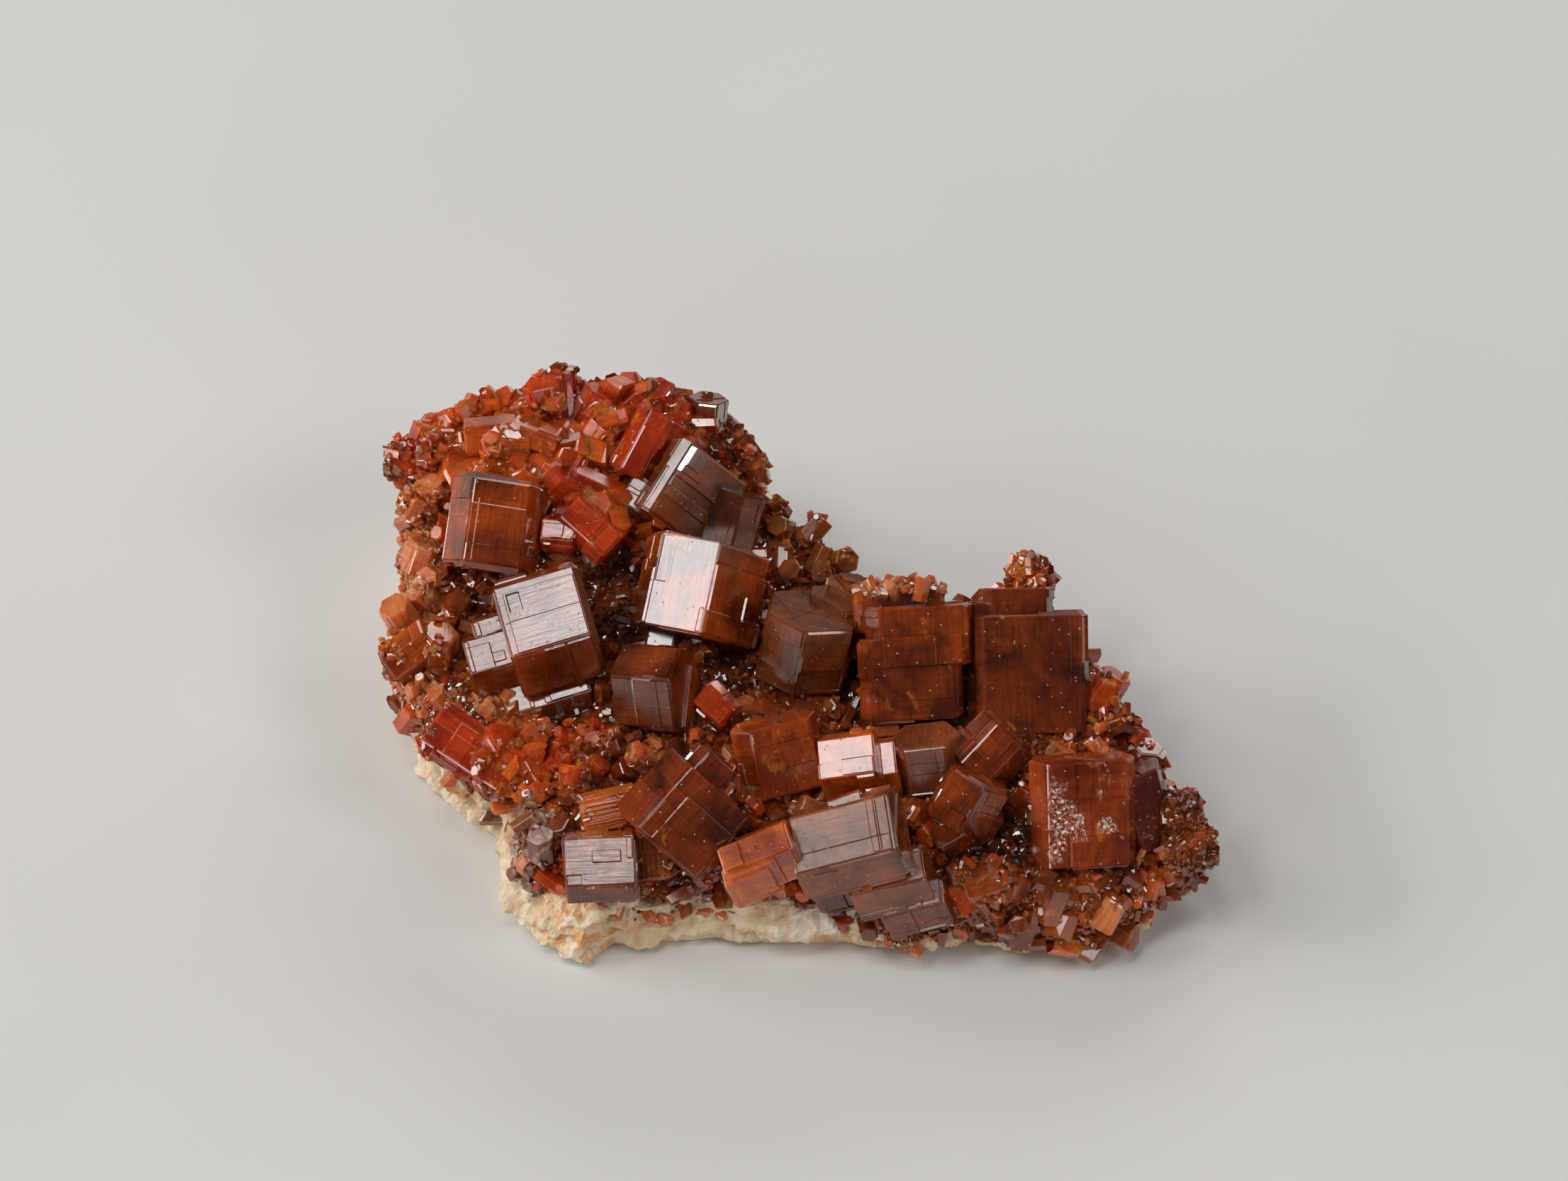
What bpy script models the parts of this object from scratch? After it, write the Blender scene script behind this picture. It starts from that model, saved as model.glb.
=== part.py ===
"""Vanadinite on matrix: stubby brown-red hexagonal crystals on a plate of pale barite rock.

Lengths are in millimetres and angles in degrees; vertices are written in metres. +Z is up and the plate
lies on its flat underside. The origin is at the bottom centre of the whole specimen's box.

A place on the plate is given as it looks to someone who looks down at its front from VIEW_ELEVATION:
so many millimetres across (right is positive) and up from the middle of that view.
"""

import math
import random

import bmesh
import bpy
from mathutils import Matrix, Vector, noise

# Driving dimensions
METRES = 0.001
GAP = 0.3  # clearance between neighbouring solids
VIEW_ELEVATION = 50.0
VIEW_DISTANCE = 420.0
VIEW_CENTRE = Vector((-1.2, 4.4, 11.5))
FRONT_HEIGHT = 7.0  # top of the crust at the plate's front edge
RISE = 0.11  # how much the crust's top climbs for each millimetre towards the back
FRONT_Y = -20.0
MOUND_HEIGHT = 4.4
MOUND_AT = (-16.0, 15.5)
MOUND_SPREAD = (13.0, 9.0)
CRUST_THICKNESS = 1.8
SKIRT = 5.0  # how far the crust hangs over the plate's sides and back
FRONT_HEM = 1.0  # height of the crust's lower edge along the front right
LUMP_SIZE = 5.0
LUMP_HEIGHT = 0.35
ROCK_LUMP = 2.6
RIM_CRYSTALS = 26
SMALL_CRYSTALS = 58
SMALL_WIDTHS = (0.6, 1.2)
PLATE_CENTRE = Vector((-4.0, -3.0))

# The plate's plan outline, anticlockwise from the left tip
MATRIX_OUTLINE = [
    (-28.5, -0.6), (-26.3, -4.9), (-23.9, -7.6), (-21.5, -9.6), (-20.7, -11.6), (-20.9, -14.0),
    (-20.5, -16.3), (-18.0, -18.3), (-15.2, -20.6), (-13.3, -18.6), (-10.6, -18.7), (-5.7, -18.2),
    (-1.2, -19.1), (3.4, -18.7), (7.6, -19.5), (10.8, -18.3), (16.4, -19.3), (20.8, -19.2),
    (24.0, -17.9), (24.9, -15.4), (27.2, -14.3), (27.6, -12.6), (24.4, -9.8), (22.8, -4.4),
    (19.6, 1.4), (16.8, 4.4), (12.2, 3.7), (7.8, 4.0), (5.0, 5.2), (1.3, 9.4),
    (-2.3, 12.8), (-4.0, 15.2), (-5.4, 19.2), (-10.4, 20.0), (-16.7, 20.2), (-21.0, 19.0),
    (-25.5, 20.0), (-27.4, 17.0), (-28.0, 12.0), (-27.6, 8.0), (-27.5, 4.4),
]  # fmt: skip

# The crust's plan outline: it wraps over the plate's edge, but leaves pale rock bare along the front left
CRUST_OUTLINE = [
    (-29.1, -1.0), (-26.4, -4.2), (-23.7, -6.8), (-21.1, -8.7), (-19.9, -11.6), (-19.8, -14.4),
    (-18.2, -16.6), (-13.9, -17.9), (-9.4, -17.6), (-5.0, -17.1), (-1.0, -17.9), (3.2, -18.4),
    (7.6, -20.3), (11.0, -18.9), (16.6, -19.8), (21.0, -19.6), (24.3, -18.1), (25.4, -15.7),
    (28.2, -14.9), (28.5, -12.2), (25.2, -9.2), (23.6, -4.0), (20.5, 2.0), (17.4, 5.4),
    (12.6, 4.6), (8.3, 4.8), (5.5, 6.1), (1.9, 10.2), (-2.0, 13.4), (-3.4, 15.8),
    (-4.9, 20.0), (-10.2, 21.0), (-16.8, 21.2), (-21.4, 20.0), (-26.2, 21.0), (-28.3, 17.4),
    (-28.9, 12.0), (-28.5, 8.0), (-28.4, 4.4),
]  # fmt: skip


def view_axes():
    """The view's right, up and towards-the-viewer directions."""
    e = math.radians(VIEW_ELEVATION)
    return (
        Vector((1, 0, 0)),
        Vector((0, math.sin(e), math.cos(e))),
        Vector((0, -math.cos(e), math.sin(e))),
    )


RIGHT, UP, TOWARDS = view_axes()


def lumps(x, y):
    return LUMP_HEIGHT * noise.noise(Vector((x / LUMP_SIZE, y / LUMP_SIZE, 3.7)))


def crust_top(x, y):
    """Height of the crystal crust's surface: it climbs to the back and has a mound at the back left."""
    mound = MOUND_HEIGHT * math.exp(
        -(((x - MOUND_AT[0]) / MOUND_SPREAD[0]) ** 2)
        - ((y - MOUND_AT[1]) / MOUND_SPREAD[1]) ** 2
    )
    return FRONT_HEIGHT + RISE * (y - FRONT_Y) + mound + lumps(x, y)


def matrix_top(x, y):
    return crust_top(x, y) - CRUST_THICKNESS


def seen_at(across, up, proud):
    """The point of the crust's surface seen at that place, moved `proud` towards the viewer."""
    eye = VIEW_CENTRE + TOWARDS * VIEW_DISTANCE
    ray = (VIEW_CENTRE + RIGHT * across + UP * up - eye).normalized()
    near, far = VIEW_DISTANCE * 0.85, VIEW_DISTANCE * 1.2
    for _ in range(40):
        middle = (near + far) / 2
        point = eye + ray * middle
        if point.z > crust_top(point.x, point.y):
            near = middle
        else:
            far = middle
    return eye + ray * (near - proud)


def new_object(name, mesh, collection):
    obj = bpy.data.objects.new(name, mesh)
    collection.objects.link(obj)
    return obj


def ring_solid(name, outline, rings, collection):
    """A closed solid of rings of points round the plate's centre, from the top's middle to the underside's.

    A ring is (scale of the outline, height function, how far it goes out beyond that, its roughness).
    """
    mesh = bmesh.new()
    loops = []
    for level, (scale, height, outwards, rough) in enumerate(rings):
        loop = []
        for point in outline:
            reach = Vector(point) - PLATE_CENTRE
            bump = rough * noise.noise(Vector((*point, level * 4.1)) / ROCK_LUMP)
            place = PLATE_CENTRE + reach * scale + reach.normalized() * (outwards + bump)
            z = height(place.x, place.y)
            loop.append(mesh.verts.new((place.x * METRES, place.y * METRES, z * METRES)))
        loops.append(loop)
    count = len(outline)
    for upper, lower in zip(loops, loops[1:]):
        for i in range(count):
            j = (i + 1) % count
            mesh.faces.new((upper[i], lower[i], lower[j], upper[j]))
    for loop, height in ((loops[0], rings[0][1]), (loops[-1], rings[-1][1])):
        middle = mesh.verts.new((*PLATE_CENTRE * METRES, height(*PLATE_CENTRE) * METRES))
        for i in range(count):
            mesh.faces.new((middle, loop[i], loop[(i + 1) % count]))
    bmesh.ops.triangulate(mesh, faces=mesh.faces)
    bmesh.ops.recalc_face_normals(mesh, faces=mesh.faces)
    data = bpy.data.meshes.new(name)
    mesh.to_mesh(data)
    mesh.free()
    return new_object(name, data, collection)


def matrix_solid(name, grow, collection):
    """The rock plate: a lumpy top, a rough side, and a flat underside. grow makes it thicker all round."""

    def top(drop):
        return lambda x, y: matrix_top(x, y) - drop + grow

    def side(level):
        return lambda x, y: level * matrix_top(x, y)

    def underside(x, y):
        return -grow

    rings = [
        (0.3, top(0.0), 0.0, 0.0),
        (0.55, top(0.0), 0.0, 0.0),
        (0.76, top(0.1), 0.0, 0.0),
        (0.9, top(0.5), grow, 0.4),
        (0.96, side(0.8), grow, 1.0),
        (0.99, side(0.6), grow, 1.4),
        (1.0, side(0.4), grow, 1.6),
        (0.99, side(0.2), grow, 1.6),
        (0.965, underside, grow, 1.0),
    ]
    return ring_solid(name, MATRIX_OUTLINE, rings, collection)


def crust_layer(name, collection):
    """The crust before its small crystals are joined on. Its underside is in the rock, and is cut away."""

    def top(drop):
        return lambda x, y: crust_top(x, y) - drop

    def hem(x, y):
        front = min(1.0, max(0.0, (-8.0 - y) / 6.0)) * min(1.0, max(0.0, x / 6.0))
        skirt = crust_top(x, y) - SKIRT - 1.2 * noise.noise(Vector((x, y, 9.0)) / ROCK_LUMP)
        return skirt + (FRONT_HEM - skirt) * front

    rings = [
        (0.35, top(0.0), 0.0, 0.0),
        (0.6, top(0.0), 0.0, 0.0),
        (0.8, top(0.1), 0.0, 0.0),
        (0.94, top(0.5), 0.0, 0.4),
        (1.0, top(2.2), 0.0, 0.8),
        (0.985, hem, 0.0, 0.6),
    ]
    return ring_solid(name, CRUST_OUTLINE, rings, collection)


def block(at, lean, tilt, roll, widths, tall, proud=1.5, beside=()):
    """A hexagonal crystal, as (centre, axes, widths, tall), and those grown parallel beside it.

    at is where it is seen; lean is where its long axis points in the view (0 right, 90 up) and tilt how far
    it points at the viewer; roll turns it about that axis. widths are those of three neighbouring side
    faces, the middle one facing roll. beside holds, for each, the shift along the axis, to its right and
    outwards, then its widths and its length.
    """
    lean, tilt, roll = (math.radians(a) for a in (lean, tilt, roll))
    axis = (RIGHT * math.cos(lean) + UP * math.sin(lean)) * math.cos(tilt) + TOWARDS * math.sin(tilt)
    facing = (TOWARDS - axis * TOWARDS.dot(axis)).normalized()
    side = axis.cross(facing)
    outwards = facing * math.cos(roll) + side * math.sin(roll)
    axes = Matrix((axis.cross(outwards), axis, outwards)).transposed()
    centre = seen_at(at[0], at[1], proud)
    found = [(centre, axes, widths, tall)]
    for shift, its_widths, its_tall in beside:
        place = centre + axis * shift[0] + side * shift[1] + facing * shift[2]
        found.append((place, axes, its_widths, its_tall))
    return found


def hexagon(widths):
    """Corners of an equal-angled hexagon with opposite sides alike. The middle width faces +Z, in (X, Z)."""
    corners = []
    place = Vector((0.0, 0.0))
    for i in range(6):
        angle = math.radians(60 * (i - 1))
        place = place + Vector((math.cos(angle), -math.sin(angle))) * widths[i % 3]
        corners.append(place)
    middle = sum(corners, Vector((0.0, 0.0))) / 6
    return [corner - middle for corner in corners]


def prism(name, shape, grow, collection):
    """One crystal as a closed prism along its axis; grow moves every face outwards."""
    centre, axes, widths, tall = shape
    grown = [w + 2 * grow * math.tan(math.radians(30)) for w in widths]
    mesh = bmesh.new()
    ends = []
    for level in (-tall / 2 - grow, tall / 2 + grow):
        ends.append(
            [
                mesh.verts.new((centre + axes @ Vector((x, level, z))) * METRES)
                for x, z in hexagon(grown)
            ]
        )
    low, high = ends
    mesh.faces.new(low)
    mesh.faces.new(reversed(high))
    for i in range(6):
        j = (i + 1) % 6
        mesh.faces.new((low[j], low[i], high[i], high[j]))
    bmesh.ops.recalc_face_normals(mesh, faces=mesh.faces)
    data = bpy.data.meshes.new(name)
    mesh.to_mesh(data)
    mesh.free()
    return new_object(name, data, collection)


def even(size):
    """Widths of a regular crystal."""
    return (size, size, size)


# Each node's crystals, as they are seen. A node is one crystal, or those that have grown into each other.
CLUSTERS = {
    "centre_block": [
        block((-5.9, -0.1), 78, -6, -14, (3.4, 4.15, 5.2), 6.5, 2.6,
              [((-3.3, -1.9, -1.0), (0.8, 1.9, 0.8), 2.2)]),
    ],
    "left_block": [
        block((-16.6, -2.7), 16.5, 0, -18, (1.9, 5.2, 3.9), 5.7, 3.0, [
            ((-4.3, 1.5, -0.9), (1.1, 2.5, 3.3), 3.6),
            ((-3.6, -0.7, -1.4), (1.0, 1.6, 1.6), 3.0),
            ((-1.3, 4.6, -2.2), (1.2, 3.4, 3.4), 5.8),
            ((1.9, 5.4, -2.4), (1.0, 2.2, 1.6), 3.2),
        ]),
    ],
    "upper_block": [
        block((-6.7, 6.8), 58, -6, -18, (2.5, 0.85, 6.2), 5.6, 1.8, [
            ((-2.0, -2.5, -1.1), (1.7, 1.8, 2.2), 2.2),
        ]),
        block((-3.8, 4.9), 75, 8, -20, (2.0, 2.4, 2.0), 4.4, 0.9),
    ],
    "slanted_block": [
        block((1.6, -3.6), 78, 26, -30, (3.6, 3.2, 3.7), 5.0, 2.2, [
            ((1.0, 1.9, -1.9), (1.4, 3.0, 2.4), 4.0),
            ((1.6, 2.6, -3.0), (1.4, 2.4, 2.2), 4.0),
        ]),
    ],
    "banded_block": [
        block((8.9, -6.2), 93, 3, 6, (1.5, 5.8, 1.0), 5.6, 2.8, [
            ((2.9, 0.9, -0.9), (1.8, 5.8, 2.4), 4.2),
            ((4.7, -0.5, -1.6), (1.2, 5.2, 1.6), 2.8),
        ]),
    ],
    "tall_block": [
        block((17.5, -5.9), 91, 2, 8, (1.1, 6.9, 1.4), 8.2, 2.6, [
            ((4.3, -0.9, -1.0), (1.2, 3.8, 1.4), 3.4),
            ((1.6, -3.1, -0.9), (0.9, 1.9, 0.9), 6.8),
        ]),
    ],
    "red_tip": [
        block((17.2, -0.2), 88, 35, 4, even(1.4), 4.6, 2.8),
    ],
    "orange_block": [
        block((-0.3, -11.6), 102, 14, 12, (1.9, 4.3, 1.6), 5.0, 2.4),
        block((-2.3, -13.9), 96, 0, -5, (0.6, 1.5, 0.6), 2.0, 0.9),
    ],
    "white_face_block": [
        block((4.7, -12.3), 8, 10, -15, (1.3, 2.75, 2.3), 3.9, 2.4, [
            ((1.7, 0.5, -0.8), (1.0, 2.3, 2.2), 3.0),
        ]),
    ],
    "frosted_block": [
        block((10.2, -11.9), 100, 26, -8, (2.2, 2.9, 2.1), 3.6, 2.0),
    ],
    "stepped_block": [
        block((12.9, -14.9), 62, 12, -20, (2.2, 2.6, 2.4), 3.6, 1.8, [
            ((-1.2, 0.9, -0.7), (1.8, 2.0, 2.0), 3.0),
        ]),
        block((12.0, -17.0), 30, 20, -10, even(1.4), 2.2, 0.9),
    ],
    "amber_block": [
        block((14.6, -11.4), 47, 4, 2, (2.4, 2.3, 2.4), 3.7, 2.2),
    ],
    "patched_block": [
        block((21.1, -15.5), 92, 11, 6, (1.9, 5.5, 1.4), 7.4, 2.8),
    ],
    "violet_block": [
        block((25.2, -15.2), 105, 20, 20, (1.7, 2.4, 1.9), 5.6, 1.2),
    ],
    "front_block": [
        block((4.7, -17.8), 15, 15, -22, (2.4, 4.0, 2.6), 7.0, 2.8, [
            ((1.9, 3.5, -1.2), (1.5, 2.0, 2.6), 5.4),
            ((2.8, 5.5, -2.2), (1.2, 1.8, 2.1), 4.4),
            ((-2.1, 3.2, -1.5), (1.0, 1.3, 1.5), 2.4),
        ]),
        block((4.4, -15.1), 20, 8, -20, (0.6, 0.9, 0.7), 2.4, 4.6),
    ],
    "tilted_block": [
        block((-6.9, -15.8), 48, 0, 10, (3.0, 5.3, 1.4), 5.6, 2.8, [
            ((3.0, -0.8, -0.4), (1.2, 2.3, 1.0), 2.6),
        ]),
    ],
    "grey_face_block": [
        block((-9.1, -6.9), -4, 25, -35, (2.0, 2.7, 3.8), 4.6, 2.2),
    ],
    "step_faced_block": [
        block((-4.7, -8.2), -42, 15, 10, (1.0, 1.6, 1.2), 2.7, 1.2),
    ],
    "smoky_block": [
        block((-20.4, 4.6), 82, -5, 7, (2.6, 4.1, 2.8), 6.0, 1.8),
    ],
    "orange_bars": [
        block((-13.6, 4.3), -42, 6, -8, (1.2, 1.9, 1.4), 4.2, 1.6),
        block((-15.8, 4.0), -5, 10, -14, (1.1, 1.5, 1.1), 2.4, 1.4),
    ],
    "peak_cluster": [
        block((-16.7, 12.9), 104, 30, 0, even(1.35), 4.2, 1.6),
        block((-15.7, 13.0), 94, 5, -16, even(1.25), 5.0, 0.9),
        block((-13.6, 12.7), 62, 24, 4, even(1.3), 3.4, 0.9),
    ],
    "red_prism": [
        block((-9.7, 10.3), 62, 0, 5, (1.8, 1.6, 2.4), 4.8, 1.6),
    ],
    "back_pair": [
        block((-9.0, 12.8), 100, 33, 0, even(1.55), 3.6, 1.0),
        block((-11.0, 12.8), 42, 10, 6, even(1.15), 3.4, 1.0),
    ],
    "orange_ridge": [
        block((-20.3, 10.9), 5, 0, 7, (1.2, 1.8, 1.2), 4.4, 1.4),
        block((-17.4, 10.8), -20, 12, 14, even(1.3), 3.6, 1.0),
    ],
    "left_corner_pair": [
        block((-26.4, 8.9), 165, 10, 0, even(1.2), 3.0, 0.5),
        block((-24.0, 9.2), 120, 30, -10, even(1.3), 3.2, 0.4),
    ],
    "left_edge_pair": [
        block((-26.3, -4.3), 35, 10, 10, even(1.6), 3.6, 0.6),
        block((-24.4, -4.2), 80, 40, 10, even(1.4), 3.0, 0.8),
    ],
    "red_slab": [
        block((-21.9, -11.4), -33, 6, -6, (1.4, 2.7, 1.3), 6.8, 0.9),
        block((-20.7, -10.9), 30, 40, 0, even(1.3), 2.6, 1.2),
    ],
    "broken_block": [
        block((-12.9, -19.5), 3, 2, -15, (1.4, 3.3, 1.8), 4.8, 1.2),
    ],
    "striated_block": [
        block((-12.2, -15.7), 12, 0, -12, (0.9, 2.2, 1.4), 4.0, 1.2),
    ],
    "front_orange_block": [
        block((-1.5, -19.0), 22, 8, -25, (1.6, 2.0, 2.6), 4.8, 2.0, [
            ((-1.2, 1.0, -0.7), (1.2, 1.4, 2.0), 3.4),
        ]),
    ],
    "tip_pair": [
        block((28.0, -16.5), 92, 8, 0, even(1.3), 3.8, 0.7),
        block((28.7, -18.4), 20, 10, 10, even(1.2), 3.2, 0.3),
    ],
}  # fmt: skip

# The crust's own larger crystals and knobs, which stand up along its edge
CRUST_KNOBS = [
    block((-25.2, 10.3), 70, 12, 10, even(1.5), 2.8, 0.6),
    block((-22.9, 9.6), 100, 25, 0, even(1.2), 2.4, 0.5),
    block((-5.5, 11.9), 84, 20, 0, even(1.5), 3.6, 0.4),
    block((-7.2, 11.7), 115, 40, 0, even(1.2), 3.0, 0.4),
    block((-13.4, 10.9), 52, 28, -12, even(1.35), 3.0, 0.8),
    block((-20.4, 9.0), 100, 30, -10, even(1.0), 2.4, 0.6),
    block((-16.3, 8.3), -35, 20, 10, even(1.2), 2.8, 0.5),
    block((-27.0, -1.9), 120, 45, 0, even(1.2), 2.8, 0.4),
    block((-9.2, -18.8), 96, 0, -10, (0.9, 1.6, 0.9), 3.0, 0.7),
    block((8.4, 0.3), 80, 20, 0, even(1.1), 2.4, 0.3),
    block((22.7, -7.2), 60, 20, 0, even(1.2), 3.0, 0.5),
    block((23.5, -9.6), 20, 40, 0, even(1.0), 2.4, 0.5),
    block((27.2, -20.0), 60, 25, 0, even(1.3), 2.8, 0.5),
    block((14.6, -20.6), 20, 20, 0, even(1.3), 3.0, 0.4),
    block((18.6, -22.6), 150, 20, 0, even(1.4), 3.2, 0.4),
    block((23.4, -21.8), 70, 35, 0, even(1.3), 3.0, 0.4),
]  # fmt: skip


def apply_boolean(target, other, operation):
    """Joins or cuts target with other, and keeps the result as target's mesh."""
    modifier = target.modifiers.new(operation, "BOOLEAN")
    modifier.operation = operation
    modifier.solver = "EXACT"
    modifier.object = other
    graph = bpy.context.evaluated_depsgraph_get()
    result = bpy.data.meshes.new_from_object(target.evaluated_get(graph))
    target.modifiers.clear()
    target.data = result


def keep_largest_body(obj):
    """Removes the loose crumbs that a cut leaves."""
    mesh = bmesh.new()
    mesh.from_mesh(obj.data)
    unseen = set(mesh.verts)
    bodies = []
    while unseen:
        body = set()
        front = [unseen.pop()]
        while front:
            vert = front.pop()
            body.add(vert)
            for edge in vert.link_edges:
                other = edge.other_vert(vert)
                if other in unseen:
                    unseen.remove(other)
                    front.append(other)
        bodies.append(body)
    largest = max(bodies, key=len)
    crumbs = [vert for body in bodies if body is not largest for vert in body]
    bmesh.ops.delete(mesh, geom=crumbs, context="VERTS")
    mesh.to_mesh(obj.data)
    mesh.free()


def reach_of(shape):
    """Radius of a ball that holds the crystal."""
    _, _, widths, tall = shape
    return math.hypot(tall / 2, max(widths[0] + widths[1], widths[1] + widths[2]))


def near(first, second):
    return (first[0] - second[0]).length < reach_of(first) + reach_of(second)


def joined_crystals(name, shapes, collection):
    """One solid of the crystals in shapes."""
    solid = prism(name, shapes[0], 0.0, collection)
    for shape in shapes[1:]:
        other = prism("joining", shape, 0.0, collection)
        apply_boolean(solid, other, "UNION")
        bpy.data.objects.remove(other)
    return solid


def cut_by_crystals(solid, shapes, collection):
    """Cuts room, with the usual gap, for each of the crystals in shapes."""
    for shape in shapes:
        cutter = prism("cutter", shape, GAP, collection)
        apply_boolean(solid, cutter, "DIFFERENCE")
        bpy.data.objects.remove(cutter)


def small_crystals(large):
    """Small crystals all round the crust's edge and scattered over it, off the middles of the large ones."""
    rng = random.Random(7)
    found = []
    tries = 0
    while len(found) < SMALL_CRYSTALS:
        tries += 1
        at_rim = tries <= RIM_CRYSTALS
        angle = 2 * math.pi * tries / RIM_CRYSTALS if at_rim else rng.uniform(0, 2 * math.pi)
        reach = rng.uniform(0.88, 0.94) if at_rim else math.sqrt(rng.uniform(0.02, 0.92))
        edge = outline_reach(CRUST_OUTLINE, angle)
        x = PLATE_CENTRE.x + reach * edge * math.cos(angle)
        y = PLATE_CENTRE.y + reach * edge * math.sin(angle)
        size = rng.uniform(*SMALL_WIDTHS)
        sink = 1.6 if at_rim else -0.2 * size
        centre = Vector((x, y, crust_top(x, y) - sink))
        away = Vector((rng.uniform(-1, 1), rng.uniform(-1, 1), rng.uniform(0.5, 1.4))).normalized()
        turn = Matrix.Rotation(rng.uniform(0, math.pi / 3), 3, "Y")
        axes = Vector((0, 1, 0)).rotation_difference(away).to_matrix() @ turn
        tall = size * rng.uniform(1.8, 2.8) * (0.65 if at_rim else 1.0)
        shape = (centre, axes, even(size), tall)
        if all((centre - other[0]).length > 0.75 * reach_of(other) for other in large + found):
            found.append(shape)
    return found


def outline_reach(outline, angle):
    """Distance from the plate's centre to the outline in that direction."""
    ray = Vector((math.cos(angle), math.sin(angle)))
    for i, start in enumerate(outline):
        a = Vector(start) - PLATE_CENTRE
        b = Vector(outline[(i + 1) % len(outline)]) - PLATE_CENTRE
        across = b - a
        turn = ray.cross(across)
        if abs(turn) < 1e-9:
            continue
        distance = a.cross(across) / turn
        share = a.cross(ray) / turn
        if distance > 0 and 0 <= share <= 1:
            return distance
    return 0.0


def material(name, colour, roughness, transmission):
    made = bpy.data.materials.new(name)
    made.use_nodes = True
    shader = made.node_tree.nodes["Principled BSDF"]
    shader.inputs["Base Color"].default_value = (*colour, 1)
    shader.inputs["Roughness"].default_value = roughness
    shader.inputs["Metallic"].default_value = 0.0
    shader.inputs["Transmission Weight"].default_value = transmission
    made.diffuse_color = (*colour, 1)
    return made


def centre_on_origin(nodes):
    """Moves the meshes so that the origin is at the bottom centre of their box."""
    points = [vertex.co for node in nodes for vertex in node.data.vertices]
    low = Vector([min(point[k] for point in points) for k in range(3)])
    high = Vector([max(point[k] for point in points) for k in range(3)])
    middle = (low + high) / 2
    middle.z = low.z
    for node in nodes:
        node.data.transform(Matrix.Translation(-middle))


def clear_scene():
    for obj in list(bpy.data.objects):
        bpy.data.objects.remove(obj)


def main():
    clear_scene()
    specimen = bpy.data.collections.new("vanadinite_on_matrix")
    bpy.context.scene.collection.children.link(specimen)

    rock = material("matrix", (0.72, 0.69, 0.60), 0.9, 0.0)
    crust_finish = material("crust", (0.45, 0.13, 0.03), 0.35, 0.0)
    brown = material("brown_crystal", (0.30, 0.08, 0.025), 0.12, 0.3)
    red = material("red_crystal", (0.55, 0.09, 0.02), 0.12, 0.3)
    red_nodes = {
        "peak_cluster",
        "red_prism",
        "back_pair",
        "orange_ridge",
        "red_slab",
        "red_tip",
        "left_corner_pair",
        "left_edge_pair",
        "orange_bars",
        "tip_pair",
    }

    matrix = matrix_solid("matrix", 0.0, specimen)
    matrix.data.materials.append(rock)
    grown_matrix = matrix_solid("grown_matrix", GAP, specimen)

    shapes = {name: [shape for found in blocks for shape in found] for name, blocks in CLUSTERS.items()}
    earlier = []
    for name, own in shapes.items():
        solid = joined_crystals(name, own, specimen)
        close = [shape for shape in earlier if any(near(shape, mine) for mine in own)]
        cut_by_crystals(solid, close, specimen)
        apply_boolean(solid, grown_matrix, "DIFFERENCE")
        keep_largest_body(solid)
        solid.data.materials.clear()
        solid.data.materials.append(red if name in red_nodes else brown)
        earlier += own

    crust = crust_layer("crust", specimen)
    knobs = [shape for found in CRUST_KNOBS for shape in found]
    for shape in knobs + small_crystals(earlier + knobs):
        other = prism("joining", shape, 0.0, specimen)
        apply_boolean(crust, other, "UNION")
        bpy.data.objects.remove(other)
    cut_by_crystals(crust, earlier, specimen)
    apply_boolean(crust, grown_matrix, "DIFFERENCE")
    keep_largest_body(crust)
    crust.data.materials.clear()
    crust.data.materials.append(crust_finish)

    bpy.data.objects.remove(grown_matrix)
    centre_on_origin(list(specimen.objects))


main()
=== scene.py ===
"""Vanadinite on matrix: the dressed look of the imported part.

Lengths are in millimetres until a mesh is made, in the frame that the solids had before they were
centred; row() turns them into metres in the row frame. A crystal is placed by where it is seen from
VIEW_ELEVATION.
"""

import math
import random

import bmesh
import bpy
import numpy as np
from mathutils.bvhtree import BVHTree
from mathutils import Matrix, Vector, geometry, noise


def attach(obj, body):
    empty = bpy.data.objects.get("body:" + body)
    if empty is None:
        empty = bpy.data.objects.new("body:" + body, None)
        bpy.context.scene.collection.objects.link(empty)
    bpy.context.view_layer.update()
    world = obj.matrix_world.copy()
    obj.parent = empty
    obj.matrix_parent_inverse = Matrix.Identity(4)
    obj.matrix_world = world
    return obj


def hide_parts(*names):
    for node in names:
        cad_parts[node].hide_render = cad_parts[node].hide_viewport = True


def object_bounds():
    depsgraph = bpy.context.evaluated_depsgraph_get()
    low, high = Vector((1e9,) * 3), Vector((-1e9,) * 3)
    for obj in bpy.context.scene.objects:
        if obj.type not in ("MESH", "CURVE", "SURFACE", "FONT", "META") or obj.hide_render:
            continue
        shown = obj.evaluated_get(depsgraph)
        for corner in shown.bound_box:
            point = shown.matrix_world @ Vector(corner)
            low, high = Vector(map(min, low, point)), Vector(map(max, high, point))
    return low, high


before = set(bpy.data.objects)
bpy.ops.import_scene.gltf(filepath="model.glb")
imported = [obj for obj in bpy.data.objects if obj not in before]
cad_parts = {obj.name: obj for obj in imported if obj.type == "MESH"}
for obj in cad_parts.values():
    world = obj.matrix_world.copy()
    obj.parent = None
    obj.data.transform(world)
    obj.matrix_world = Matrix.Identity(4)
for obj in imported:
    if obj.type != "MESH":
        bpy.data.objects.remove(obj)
CAD_BOX = [list(corner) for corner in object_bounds()]

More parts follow.
